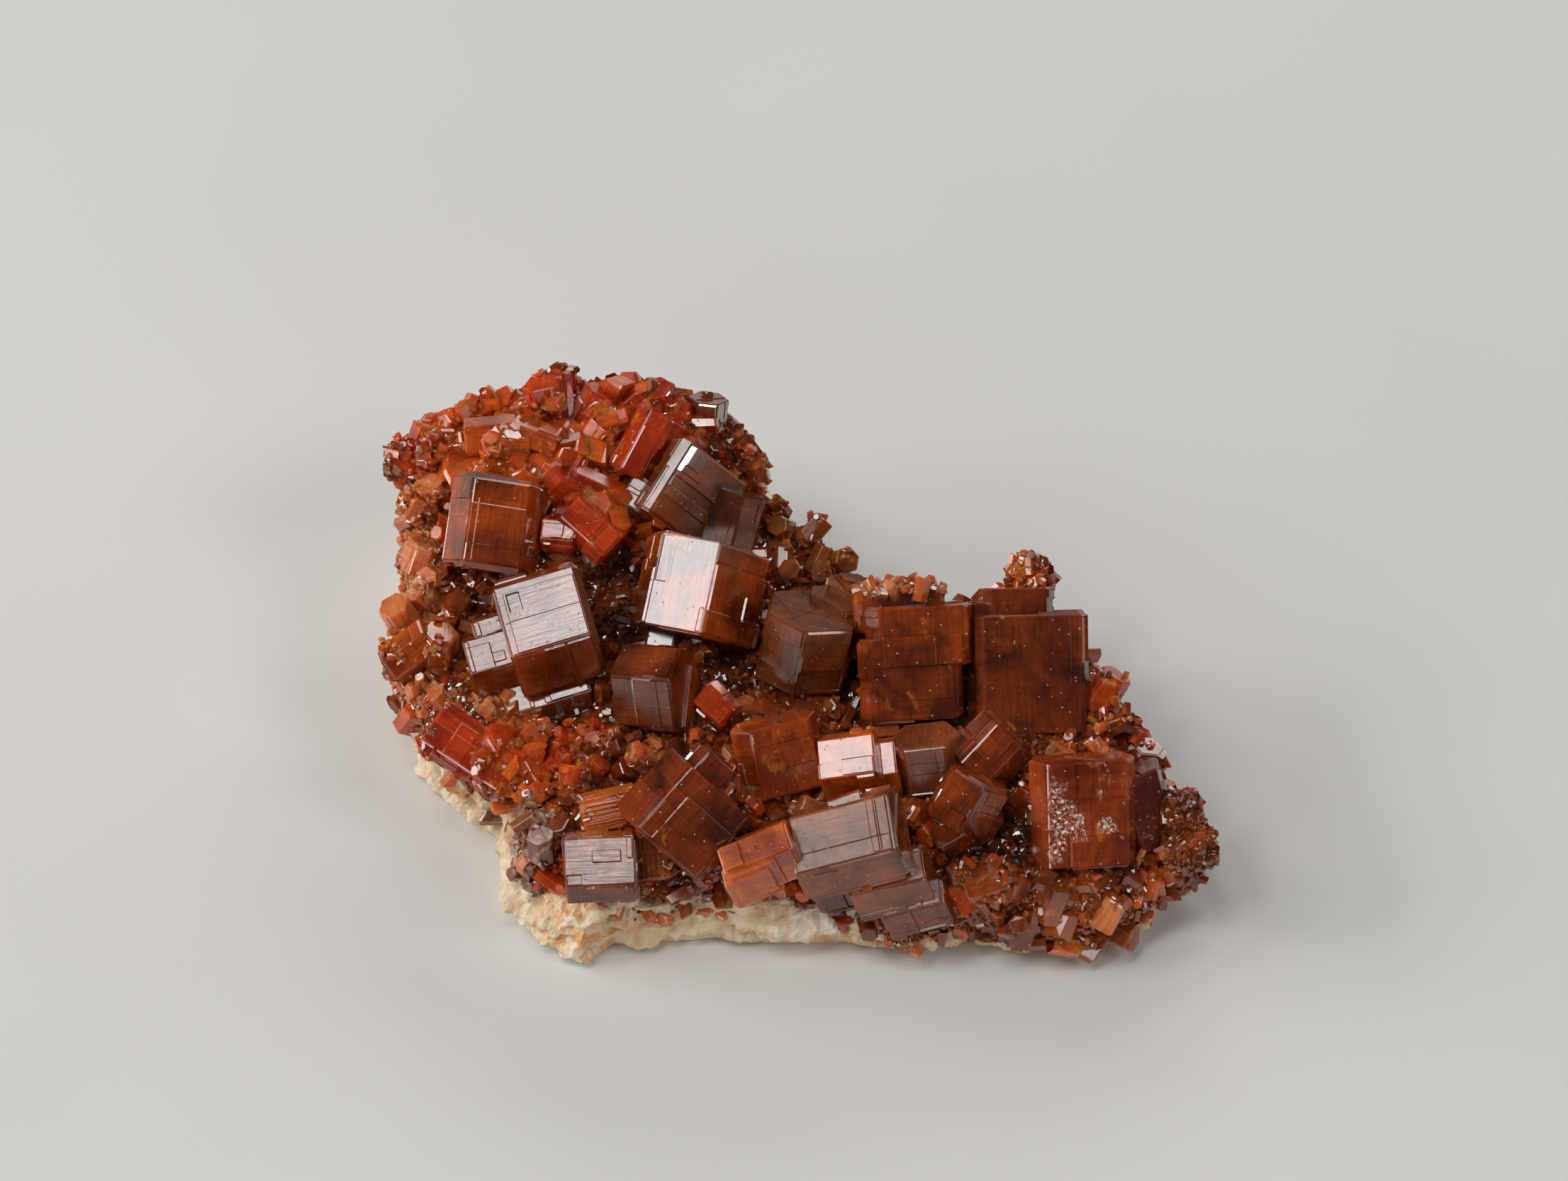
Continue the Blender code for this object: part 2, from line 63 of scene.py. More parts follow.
METRES = 0.001
SHIFT = Vector((0.5369, -0.2675, 0.0))
VIEW_ELEVATION = 50.0
VIEW_DISTANCE = 420.0
VIEW_CENTRE = Vector((-1.2, 4.4, 11.5))
VIEW_WIDTH = 110.6  # millimetres across the photo at VIEW_DISTANCE
SENSOR = 36.0
SLOPE = 0.08  # over how many millimetres a growth step on a face rises
BEVEL = 0.07  # the chamfer of a large crystal's edges
PLAIN = 1.1  # a crystal whose widest face is no wider has neither growth plates nor terraces
LEAST = 0.004  # a growth plate whose edges would slope over less isn't drawn
MARGIN = 0.012  # growth plates keep this far from the chamfer
WELD = 2e-7  # metres

ROCK_VOXEL, CRUST_VOXEL = ((0.28, 0.26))
# How many small crystals there are: on the crust in three sizes, on larger crystals, and on the ridge
COARSE, MIDDLING, FINE = ((1300, 3200, 6500))
OVERGROWTH, RIDGE = ((6700, 190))
LOWEST = 1.6  # no small crystal grows lower than this
COVER = 8.0  # how many times as densely a covered crystal is overgrown as the others
HELD_WITHIN = 0.4  # a crystal whose middle is farther from the solid crust isn't drawn

FRONT_HEIGHT = 7.0
RISE = 0.11
FRONT_Y = -20.0
MOUND_HEIGHT = 4.4
MOUND_AT = (-16.0, 15.5)
MOUND_SPREAD = (13.0, 9.0)
CRUST_THICKNESS = 1.8
LUMP_SIZE = 5.0
LUMP_HEIGHT = 0.35
ROCK_LUMP = 2.6
SKIRT = 5.0
FRONT_HEM = 1.0
RIM_CRYSTALS = 26
SMALL_CRYSTALS = 58
SMALL_WIDTHS = (0.6, 1.2)
PLATE_CENTRE = Vector((-4.0, -3.0))


def row(point):
    """A place in millimetres as metres in the row frame."""
    return (Vector(point) + SHIFT) * METRES


def view_axes():
    """The view's directions to the right, up and towards the camera."""
    e = math.radians(VIEW_ELEVATION)
    return (
        Vector((1, 0, 0)),
        Vector((0, math.sin(e), math.cos(e))),
        Vector((0, -math.cos(e), math.sin(e))),
    )


RIGHT, UP, TOWARDS = view_axes()
EYE = VIEW_CENTRE + TOWARDS * VIEW_DISTANCE


def crust_top(x, y):
    """The height of the crust's upper face."""
    mound = MOUND_HEIGHT * math.exp(
        -(((x - MOUND_AT[0]) / MOUND_SPREAD[0]) ** 2)
        - ((y - MOUND_AT[1]) / MOUND_SPREAD[1]) ** 2
    )
    lump = LUMP_HEIGHT * noise.noise(Vector((x / LUMP_SIZE, y / LUMP_SIZE, 3.7)))
    return FRONT_HEIGHT + RISE * (y - FRONT_Y) + mound + lump


def matrix_top(x, y):
    """The height of the rock's upper face."""
    return crust_top(x, y) - CRUST_THICKNESS


def sight(across, up):
    """From the eye to a place in the view's middle plane."""
    return VIEW_CENTRE + RIGHT * across + UP * up - EYE


def seen_at(across, up, proud):
    """The place proud millimetres in front of the crust that is seen at (across, up)."""
    ray = sight(across, up).normalized()
    near, far = VIEW_DISTANCE * 0.85, VIEW_DISTANCE * 1.2
    for _ in range(40):
        middle = (near + far) / 2
        point = EYE + ray * middle
        if point.z > crust_top(point.x, point.y):
            near = middle
        else:
            far = middle
    return EYE + ray * (near - proud)


def block(at, lean, tilt, roll, widths, tall, proud=1.5, beside=()):
    """The crystals of one block, as (centre, axes, widths, tall), as the solids have them."""
    lean, tilt, roll = (math.radians(a) for a in (lean, tilt, roll))
    axis = (RIGHT * math.cos(lean) + UP * math.sin(lean)) * math.cos(tilt) + TOWARDS * math.sin(tilt)
    facing = (TOWARDS - axis * TOWARDS.dot(axis)).normalized()
    side = axis.cross(facing)
    outwards = facing * math.cos(roll) + side * math.sin(roll)
    axes = Matrix((axis.cross(outwards), axis, outwards)).transposed()
    centre = seen_at(at[0], at[1], proud)
    found = [(centre, axes, widths, tall)]
    for shift, its_widths, its_tall in beside:
        place = centre + axis * shift[0] + side * shift[1] + facing * shift[2]
        found.append((place, axes, its_widths, its_tall))
    return found


def even(size):
    """The widths of a regular hexagonal prism."""
    return (size, size, size)


def hexagon(widths):
    """Corners, as (X, Z), of an equal-angled hexagon with opposite sides alike.

    The middle width faces +Z.
    """
    corners = []
    place = Vector((0.0, 0.0))
    for i in range(6):
        angle = math.radians(60 * (i - 1))
        place = place + Vector((math.cos(angle), -math.sin(angle))) * widths[i % 3]
        corners.append(place)
    middle = sum(corners, Vector((0.0, 0.0))) / 6
    return [corner - middle for corner in corners]


# The outlines and crystals that the solids have
MATRIX_OUTLINE = [
    (-28.5, -0.6), (-26.3, -4.9), (-23.9, -7.6), (-21.5, -9.6), (-20.7, -11.6), (-20.9, -14.0),
    (-20.5, -16.3), (-18.0, -18.3), (-15.2, -20.6), (-13.3, -18.6), (-10.6, -18.7), (-5.7, -18.2),
    (-1.2, -19.1), (3.4, -18.7), (7.6, -19.5), (10.8, -18.3), (16.4, -19.3), (20.8, -19.2),
    (24.0, -17.9), (24.9, -15.4), (27.2, -14.3), (27.6, -12.6), (24.4, -9.8), (22.8, -4.4),
    (19.6, 1.4), (16.8, 4.4), (12.2, 3.7), (7.8, 4.0), (5.0, 5.2), (1.3, 9.4),
    (-2.3, 12.8), (-4.0, 15.2), (-5.4, 19.2), (-10.4, 20.0), (-16.7, 20.2), (-21.0, 19.0),
    (-25.5, 20.0), (-27.4, 17.0), (-28.0, 12.0), (-27.6, 8.0), (-27.5, 4.4),
]  # fmt: skip

CRUST_OUTLINE = [
    (-29.1, -1.0), (-26.4, -4.2), (-23.7, -6.8), (-21.1, -8.7), (-19.9, -11.6), (-19.8, -14.4),
    (-18.2, -16.6), (-13.9, -17.9), (-9.4, -17.6), (-5.0, -17.1), (-1.0, -17.9), (3.2, -18.4),
    (7.6, -20.3), (11.0, -18.9), (16.6, -19.8), (21.0, -19.6), (24.3, -18.1), (25.4, -15.7),
    (28.2, -14.9), (28.5, -12.2), (25.2, -9.2), (23.6, -4.0), (20.5, 2.0), (17.4, 5.4),
    (12.6, 4.6), (8.3, 4.8), (5.5, 6.1), (1.9, 10.2), (-2.0, 13.4), (-3.4, 15.8),
    (-4.9, 20.0), (-10.2, 21.0), (-16.8, 21.2), (-21.4, 20.0), (-26.2, 21.0), (-28.3, 17.4),
    (-28.9, 12.0), (-28.5, 8.0), (-28.4, 4.4),
]  # fmt: skip

CLUSTERS = {
    "centre_block": [
        block((-5.9, -0.1), 78, -6, -14, (3.4, 4.15, 5.2), 6.5, 2.6,
              [((-3.3, -1.9, -1.0), (0.8, 1.9, 0.8), 2.2)]),
    ],
    "left_block": [
        block((-16.6, -2.7), 16.5, 0, -18, (1.9, 5.2, 3.9), 5.7, 3.0, [
            ((-4.3, 1.5, -0.9), (1.1, 2.5, 3.3), 3.6),
            ((-3.6, -0.7, -1.4), (1.0, 1.6, 1.6), 3.0),
            ((-1.3, 4.6, -2.2), (1.2, 3.4, 3.4), 5.8),
            ((1.9, 5.4, -2.4), (1.0, 2.2, 1.6), 3.2),
        ]),
    ],
    "upper_block": [
        block((-6.7, 6.8), 58, -6, -18, (2.5, 0.85, 6.2), 5.6, 1.8, [
            ((-2.0, -2.5, -1.1), (1.7, 1.8, 2.2), 2.2),
        ]),
        block((-3.8, 4.9), 75, 8, -20, (2.0, 2.4, 2.0), 4.4, 0.9),
    ],
    "slanted_block": [
        block((1.6, -3.6), 78, 26, -30, (3.6, 3.2, 3.7), 5.0, 2.2, [
            ((1.0, 1.9, -1.9), (1.4, 3.0, 2.4), 4.0),
            ((1.6, 2.6, -3.0), (1.4, 2.4, 2.2), 4.0),
        ]),
    ],
    "banded_block": [
        block((8.9, -6.2), 93, 3, 6, (1.5, 5.8, 1.0), 5.6, 2.8, [
            ((2.9, 0.9, -0.9), (1.8, 5.8, 2.4), 4.2),
            ((4.7, -0.5, -1.6), (1.2, 5.2, 1.6), 2.8),
        ]),
    ],
    "tall_block": [
        block((17.5, -5.9), 91, 2, 8, (1.1, 6.9, 1.4), 8.2, 2.6, [
            ((4.3, -0.9, -1.0), (1.2, 3.8, 1.4), 3.4),
            ((1.6, -3.1, -0.9), (0.9, 1.9, 0.9), 6.8),
        ]),
    ],
    "red_tip": [
        block((17.2, -0.2), 88, 35, 4, even(1.4), 4.6, 2.8),
    ],
    "orange_block": [
        block((-0.3, -11.6), 102, 14, 12, (1.9, 4.3, 1.6), 5.0, 2.4),
        block((-2.3, -13.9), 96, 0, -5, (0.6, 1.5, 0.6), 2.0, 0.9),
    ],
    "white_face_block": [
        block((4.7, -12.3), 8, 10, -15, (1.3, 2.75, 2.3), 3.9, 2.4, [
            ((1.7, 0.5, -0.8), (1.0, 2.3, 2.2), 3.0),
        ]),
    ],
    "frosted_block": [
        block((10.2, -11.9), 100, 26, -8, (2.2, 2.9, 2.1), 3.6, 2.0),
    ],
    "stepped_block": [
        block((12.9, -14.9), 62, 12, -20, (2.2, 2.6, 2.4), 3.6, 1.8, [
            ((-1.2, 0.9, -0.7), (1.8, 2.0, 2.0), 3.0),
        ]),
        block((12.0, -17.0), 30, 20, -10, even(1.4), 2.2, 0.9),
    ],
    "amber_block": [
        block((14.6, -11.4), 47, 4, 2, (2.4, 2.3, 2.4), 3.7, 2.2),
    ],
    "patched_block": [
        block((21.1, -15.5), 92, 11, 6, (1.9, 5.5, 1.4), 7.4, 2.8),
    ],
    "violet_block": [
        block((25.2, -15.2), 105, 20, 20, (1.7, 2.4, 1.9), 5.6, 1.2),
    ],
    "front_block": [
        block((4.7, -17.8), 15, 15, -22, (2.4, 4.0, 2.6), 7.0, 2.8, [
            ((1.9, 3.5, -1.2), (1.5, 2.0, 2.6), 5.4),
            ((2.8, 5.5, -2.2), (1.2, 1.8, 2.1), 4.4),
            ((-2.1, 3.2, -1.5), (1.0, 1.3, 1.5), 2.4),
        ]),
        block((4.4, -15.1), 20, 8, -20, (0.6, 0.9, 0.7), 2.4, 4.6),
    ],
    "tilted_block": [
        block((-6.9, -15.8), 48, 0, 10, (3.0, 5.3, 1.4), 5.6, 2.8, [
            ((3.0, -0.8, -0.4), (1.2, 2.3, 1.0), 2.6),
        ]),
    ],
    "grey_face_block": [
        block((-9.1, -6.9), -4, 25, -35, (2.0, 2.7, 3.8), 4.6, 2.2),
    ],
    "step_faced_block": [
        block((-4.7, -8.2), -42, 15, 10, (1.0, 1.6, 1.2), 2.7, 1.2),
    ],
    "smoky_block": [
        block((-20.4, 4.6), 82, -5, 7, (2.6, 4.1, 2.8), 6.0, 1.8),
    ],
    "orange_bars": [
        block((-13.6, 4.3), -42, 6, -8, (1.2, 1.9, 1.4), 4.2, 1.6),
        block((-15.8, 4.0), -5, 10, -14, (1.1, 1.5, 1.1), 2.4, 1.4),
    ],
    "peak_cluster": [
        block((-16.7, 12.9), 104, 30, 0, even(1.35), 4.2, 1.6),
        block((-15.7, 13.0), 94, 5, -16, even(1.25), 5.0, 0.9),
        block((-13.6, 12.7), 62, 24, 4, even(1.3), 3.4, 0.9),
    ],
    "red_prism": [
        block((-9.7, 10.3), 62, 0, 5, (1.8, 1.6, 2.4), 4.8, 1.6),
    ],
    "back_pair": [
        block((-9.0, 12.8), 100, 33, 0, even(1.55), 3.6, 1.0),
        block((-11.0, 12.8), 42, 10, 6, even(1.15), 3.4, 1.0),
    ],
    "orange_ridge": [
        block((-20.3, 10.9), 5, 0, 7, (1.2, 1.8, 1.2), 4.4, 1.4),
        block((-17.4, 10.8), -20, 12, 14, even(1.3), 3.6, 1.0),
    ],
    "left_corner_pair": [
        block((-26.4, 8.9), 165, 10, 0, even(1.2), 3.0, 0.5),
        block((-24.0, 9.2), 120, 30, -10, even(1.3), 3.2, 0.4),
    ],
    "left_edge_pair": [
        block((-26.3, -4.3), 35, 10, 10, even(1.6), 3.6, 0.6),
        block((-24.4, -4.2), 80, 40, 10, even(1.4), 3.0, 0.8),
    ],
    "red_slab": [
        block((-21.9, -11.4), -33, 6, -6, (1.4, 2.7, 1.3), 6.8, 0.9),
        block((-20.7, -10.9), 30, 40, 0, even(1.3), 2.6, 1.2),
    ],
    "broken_block": [
        block((-12.9, -19.5), 3, 2, -15, (1.4, 3.3, 1.8), 4.8, 1.2),
    ],
    "striated_block": [
        block((-12.2, -15.7), 12, 0, -12, (0.9, 2.2, 1.4), 4.0, 1.2),
    ],
    "front_orange_block": [
        block((-1.5, -19.0), 22, 8, -25, (1.6, 2.0, 2.6), 4.8, 2.0, [
            ((-1.2, 1.0, -0.7), (1.2, 1.4, 2.0), 3.4),
        ]),
    ],
    "tip_pair": [
        block((28.0, -16.5), 92, 8, 0, even(1.3), 3.8, 0.7),
        block((28.7, -18.4), 20, 10, 10, even(1.2), 3.2, 0.3),
    ],
}  # fmt: skip

CRUST_KNOBS = [
    block((-25.2, 10.3), 70, 12, 10, even(1.5), 2.8, 0.6),
    block((-22.9, 9.6), 100, 25, 0, even(1.2), 2.4, 0.5),
    block((-5.5, 11.9), 84, 20, 0, even(1.5), 3.6, 0.4),
    block((-7.2, 11.7), 115, 40, 0, even(1.2), 3.0, 0.4),
    block((-13.4, 10.9), 52, 28, -12, even(1.35), 3.0, 0.8),
    block((-20.4, 9.0), 100, 30, -10, even(1.0), 2.4, 0.6),
    block((-16.3, 8.3), -35, 20, 10, even(1.2), 2.8, 0.5),
    block((-27.0, -1.9), 120, 45, 0, even(1.2), 2.8, 0.4),
    block((-9.2, -18.8), 96, 0, -10, (0.9, 1.6, 0.9), 3.0, 0.7),
    block((8.4, 0.3), 80, 20, 0, even(1.1), 2.4, 0.3),
    block((22.7, -7.2), 60, 20, 0, even(1.2), 3.0, 0.5),
    block((23.5, -9.6), 20, 40, 0, even(1.0), 2.4, 0.5),
    block((27.2, -20.0), 60, 25, 0, even(1.3), 2.8, 0.5),
    block((14.6, -20.6), 20, 20, 0, even(1.3), 3.0, 0.4),
    block((18.6, -22.6), 150, 20, 0, even(1.4), 3.2, 0.4),
    block((23.4, -21.8), 70, 35, 0, even(1.3), 3.0, 0.4),
]  # fmt: skip


# Meshes


def in_scene(name, mesh):
    """A new object of mesh, in the scene."""
    obj = bpy.data.objects.new(name, mesh)
    bpy.context.scene.collection.objects.link(obj)
    return obj


def faced(name, points, faces, uvs, slots, materials, weld):
    """A mesh object from points in metres, kept inside the CAD box, with UVs in millimetres."""
    mesh = bpy.data.meshes.new(name)
    mesh.from_pydata(np.clip([tuple(p) for p in points], *CAD_BOX).tolist(), [], faces)
    layer = mesh.uv_layers.new(name="face_mm")
    layer.data.foreach_set("uv", np.array(uvs, dtype=np.float32).ravel())
    mesh.polygons.foreach_set("material_index", slots)
    for made in materials:
        mesh.materials.append(made)
    work = bmesh.new()
    work.from_mesh(mesh)
    if weld:
        bmesh.ops.remove_doubles(work, verts=work.verts, dist=WELD)
    bmesh.ops.recalc_face_normals(work, faces=work.faces)
    work.to_mesh(mesh)
    work.free()
    mesh.update()
    return in_scene(name, mesh)


def triples(items, key, kind=np.float32):
    """An array of one row of three values for each of the mesh's items."""
    values = np.empty(len(items) * 3, kind)
    items.foreach_get(key, values)
    return values.reshape(-1, 3)


class Sheet:
    """Gathers faces with their own UVs, in millimetres, and makes one mesh of them."""

    def __init__(self):
        self.points = []
        self.faces = []
        self.uvs = []
        self.slots = []

    def add(self, corners, uvs, slot):
        start = len(self.points)
        self.points += corners
        self.faces.append(tuple(range(start, start + len(corners))))
        self.uvs += uvs
        self.slots.append(slot)

    def make(self, name, materials):
        points = [row(p) for p in self.points]
        return faced(name, points, self.faces, self.uvs, self.slots, materials, True)


def side_frame(outline, i):
    """A side face's first corner, the directions along and outwards, and its width."""
    a, b = Vector(outline[i]), Vector(outline[(i + 1) % 6])
    along = (b - a).normalized()
    out = Vector((along.y, -along.x))
    if out.dot((a + b) / 2) < 0:
        out = -out
    return a, along, out, (b - a).length


def met_on_side(shape, face, spot):
    """Where a sight line through spot, (across, up) in the view, meets a side face's plane."""
    centre, axes, widths, _ = shape
    a, _, out, _ = side_frame(hexagon(widths), face)
    ray = sight(*spot)
    normal = axes @ Vector((out.x, 0, out.y))
    corner = centre + axes @ Vector((a.x, 0, a.y))
    return EYE + ray * ((corner - EYE).dot(normal) / ray.dot(normal))


def on_side(shape, face, spot):
    """The same place in the side face's own (s, t)."""
    centre, axes, widths, _ = shape
    a, along, _, _ = side_frame(hexagon(widths), face)
    p = axes.transposed() @ (met_on_side(shape, face, spot) - centre)
    return (Vector((p.x, p.z)) - a).dot(along), p.y


def seen_marks(shape, face, marks):
    """Plates of a side face from marks, (one corner, the opposite one, height) as they are seen."""
    found = []
    for first, second, height in marks:
        (s0, t0), (s1, t1) = on_side(shape, face, first), on_side(shape, face, second)
        found.append((min(s0, s1), max(s0, s1), min(t0, t1), max(t0, t1), height))
    return found


def stripes(wide, tall, rng, pitch, high):
    """Narrow plates along the crystal's axis, with ragged ends, as (s0, s1, t0, t1, height)."""
    found = []
    s = 0.0
    while s < wide:
        step = pitch * rng.uniform(0.5, 1.6)
        t0, t1 = (tall * rng.choice((-0.5, -0.5, rng.uniform(-0.5, -0.2))) for _ in range(2))
        end = min(wide, s + step * rng.uniform(0.4, 0.8))
        found.append((s, end, t0, -t1, high * rng.uniform(0.3, 1.0)))
        s += step
    return found


def growth_steps(wide, tall, rng, busy):
    """Thin growth plates of a side face, as (s0, s1, t0, t1, thickness), in shares of the face.

    Nearly all of them run to the face's edges.
    """
    plates = []
    for _ in range(round(busy * min(wide, tall) / 1.7 + rng.uniform(0.3, 2.0))):
        thick = rng.choice((0.05, 0.07, 0.1, 0.15, 0.22, -0.08, -0.13))
        if rng.random() < 0.9:
            s0, s1 = 0.0, 1.0
            if rng.random() < 0.5:
                s0, s1 = ((0.0, rng.uniform(0.2, 0.9)), (rng.uniform(0.1, 0.8), 1.0))[rng.random() < 0.5]
            t0, t1 = ((0.0, rng.uniform(0.1, 0.8)), (rng.uniform(0.2, 0.9), 1.0))[rng.random() < 0.5]
        else:
            s0 = rng.uniform(0.05, 0.6)
            s1 = s0 + rng.uniform(0.1, 0.35)
            t0 = rng.uniform(0.05, 0.6)
            t1 = t0 + rng.uniform(0.05, 0.4)
        plates.append((s0, min(s1, 1.0), t0, min(t1, 1.0), thick))
    return plates


def stepped_side(sheet, place, frame_of, tall, bevel, cut, plates, slot, offset):
    """A side face with raised and sunken rectangles, whose edges slope over SLOPE millimetres."""
    corner, along, out, wide = frame_of
    s_low, s_high = bevel, wide - bevel
    t_low, t_high = -tall / 2 + cut, tall / 2 - cut
    inner_s = (s_low + MARGIN, s_high - MARGIN)
    inner_t = (t_low + MARGIN, t_high - MARGIN)

    def put(s, t, h):
        p = corner + along * s + out * h
        return place(Vector((p.x, t, p.y)))

    real = []
    for s0, s1, t0, t1, thick in plates:
        spans = []
        for (low, high), (a, b) in ((inner_s, (s0, s1)), (inner_t, (t0, t1))):
            a, b = low + (high - low) * a, low + (high - low) * b
            spans.append((a, b, min(SLOPE, 0.35 * (b - a))))
        if spans[0][2] > LEAST and spans[1][2] > LEAST:
            real.append((*spans, thick))

    def cuts(low, high, which):
        found = {low, high}
        for r in real:
            a, b, w = r[which]
            found |= {a, a + w, b - w, b}
        found = sorted(found)
        kept = [low]
        for value in found[1:-1]:
            if value - kept[-1] > 1e-3 and high - value > 1e-3:
                kept.append(value)
        return [*kept, high]

    def inwards(value, a, b, w):
        return max(0.0, min(1.0, (value - a) / w, (b - value) / w))

    s_cuts, t_cuts = cuts(s_low, s_high, 0), cuts(t_low, t_high, 1)
    grid = [
        [
            0.0
            if s in (s_low, s_high) or t in (t_low, t_high)
            else sum(r[2] * min(inwards(s, *r[0]), inwards(t, *r[1])) for r in real)
            for t in t_cuts
        ]
        for s in s_cuts
    ]
    u0, v0 = offset
    for i, (s0, s1) in enumerate(zip(s_cuts, s_cuts[1:])):
        for j, (t0, t1) in enumerate(zip(t_cuts, t_cuts[1:])):
            corners = [
                (s0, t0, grid[i][j]),
                (s1, t0, grid[i + 1][j]),
                (s1, t1, grid[i + 1][j + 1]),
                (s0, t1, grid[i][j + 1]),
            ]
            heights = [h for _, _, h in corners]
            if abs(heights[0] - heights[1] + heights[2] - heights[3]) > 1e-5:
                parts = ((0, 1, 2), (0, 2, 3))
            else:
                parts = ((0, 1, 2, 3),)
            for part in parts:
                picked = [corners[k] for k in part]
                sheet.add([put(*c) for c in picked], [(u0 + c[0], v0 + c[1]) for c in picked], slot)


def clipped(outline, normal, limit):
    """The part of a convex outline where point.normal is under limit."""
    kept = []
    for i, here in enumerate(outline):
        after = outline[(i + 1) % len(outline)]
        a, b = here.dot(normal) - limit, after.dot(normal) - limit
        if a <= 0:
            kept.append(here)
        if a * b < 0:
            kept.append(here + (after - here) * (a / (a - b)))
    return kept


def inset(outline, amount):
    """A convex outline moved inwards by amount, by clipping it with each of its own edges."""
    middle = sum(outline, Vector((0.0, 0.0))) / len(outline)
    found = list(outline)
    for i, a in enumerate(outline):
        along = outline[(i + 1) % len(outline)] - a
        if along.length < 1e-6:
            continue
        along.normalize()
        out = Vector((along.y, -along.x))
        if out.dot(a - middle) < 0:
            out = -out
        found = clipped(found, out, a.dot(out) - amount)
        if len(found) < 3:
            return []
    return found


def stepped_end(sheet, place, ring, level, end, rng, steps, slot, offset):
    """An end face with terraces: its outline, moved in and cut short along crystal directions."""

    def put(p, y):
        return place(Vector((p.x, y, p.y)))

    def flat(outer, hole, y):
        loops = [[Vector((p.x, p.y, 0.0)) for p in outer]]
        if hole:
            loops.append([Vector((p.x, p.y, 0.0)) for p in hole])
        points = [*outer, *(hole or [])]
        for a, b, c in geometry.tessellate_polygon(loops):
            corners = [points[a], points[b], points[c]]
            sheet.add(
                [put(p, y) for p in corners],
                [(offset[0] + 211 + p.x, offset[1] + y + p.y) for p in corners],
                slot,
            )

    outer = [Vector(p) for p in ring]
    for _ in range(steps):
        inner = inset(outer, rng.uniform(0.03, 0.12))
        for _ in range(rng.choice((0, 1, 1, 2))):
            if len(inner) < 3:
                break
            angle = math.radians(60 * rng.randrange(6) + 30)
            normal = Vector((math.sin(angle), math.cos(angle)))
            far = max(p.dot(normal) for p in inner)
            near_side = min(p.dot(normal) for p in inner)
            inner = clipped(inner, normal, near_side + (far - near_side) * rng.uniform(0.45, 0.93))
        if len(inner) < 3 or max((a - b).length for a in inner for b in inner) < 0.5:
            break
        flat(outer, inner, level)
        rise = end * rng.uniform(0.04, 0.16)
        for i, a in enumerate(inner):
            b = inner[(i + 1) % len(inner)]
            sheet.add(
                [put(a, level), put(b, level), put(b, level + rise), put(a, level + rise)],
                [(offset[0] + a.x, offset[1] + 300), (offset[0] + b.x, offset[1] + 300)] * 2,
                slot,
            )
        level += rise
        outer = inner
    flat(outer, None, level)


def crystal(sheet, shape, slot, rng, own, bevel=BEVEL, busy=1.0):
    """One crystal: a chamfered hexagonal prism with growth plates on its sides and terraces on its ends.

    own gives the plates of some side faces, which are then not drawn at random.
    """
    centre, axes, widths, tall = shape

    def place(p):
        return centre + axes @ p

    outline = hexagon(widths)
    offset = (rng.uniform(0, 400), rng.uniform(0, 400))
    bevel = min(bevel, 0.12 * min(widths), 0.1 * tall)
    low, high = -tall / 2, tall / 2
    rings = {}
    for i in range(6):
        corner, along, out, wide = side_frame(outline, i)
        plates = growth_steps(wide, tall, rng, busy) if max(widths) > PLAIN else []
        if i in own:
            plates = []
            for s0, s1, t0, t1, thick in own[i]:
                shares = (s0 / wide, s1 / wide, t0 / tall + 0.5, t1 / tall + 0.5)
                plates.append((*(min(1.0, max(0.0, share)) for share in shares), thick))
        side = (corner, along, out, wide)
        start = (offset[0] + 31.0 * i, offset[1])
        stepped_side(sheet, place, side, tall, bevel, bevel, plates, slot, start)
    for i in range(6):
        before, here, after = (Vector(outline[(i + k) % 6]) for k in (-1, 0, 1))
        back, ahead = (before - here).normalized(), (after - here).normalized()
        rings[i] = (here + back * bevel, here + ahead * bevel, here + (back + ahead) * bevel)

    def put(p, y):
        return place(Vector((p.x, y, p.y)))

    for i in range(6):
        j = (i + 1) % 6
        a, b = rings[i][1], rings[j][0]
        u, v = offset[0] + 31.0 * i, offset[1]
        c, d = rings[i][0], rings[i][1]
        sheet.add(
            [put(c, low + bevel), put(d, low + bevel), put(d, high - bevel), put(c, high - bevel)],
            [(u - bevel, v), (u, v), (u, v + tall), (u - bevel, v + tall)],
            slot,
        )
        for y_side, y_end in ((low + bevel, low), (high - bevel, high)):
            p, q = rings[i][2], rings[j][2]
            wide = (b - a).length
            sheet.add(
                [put(a, y_side), put(b, y_side), put(q, y_end), put(p, y_end)],
                [(u, v), (u + wide, v), (u + wide, v - bevel), (u, v - bevel)],
                slot,
            )
            sheet.add(
                [put(c, y_side), put(d, y_side), put(p, y_end)],
                [(u, v), (u + bevel, v), (u, v - bevel)],
                slot,
            )
    steps = 0 if max(widths) <= PLAIN else rng.choice((1, 1, 2, 3))
    ring = [rings[i][2] for i in range(6)]
    for end in (-1, 1):
        stepped_end(sheet, place, ring, end * tall / 2, end, rng, steps, slot, offset)


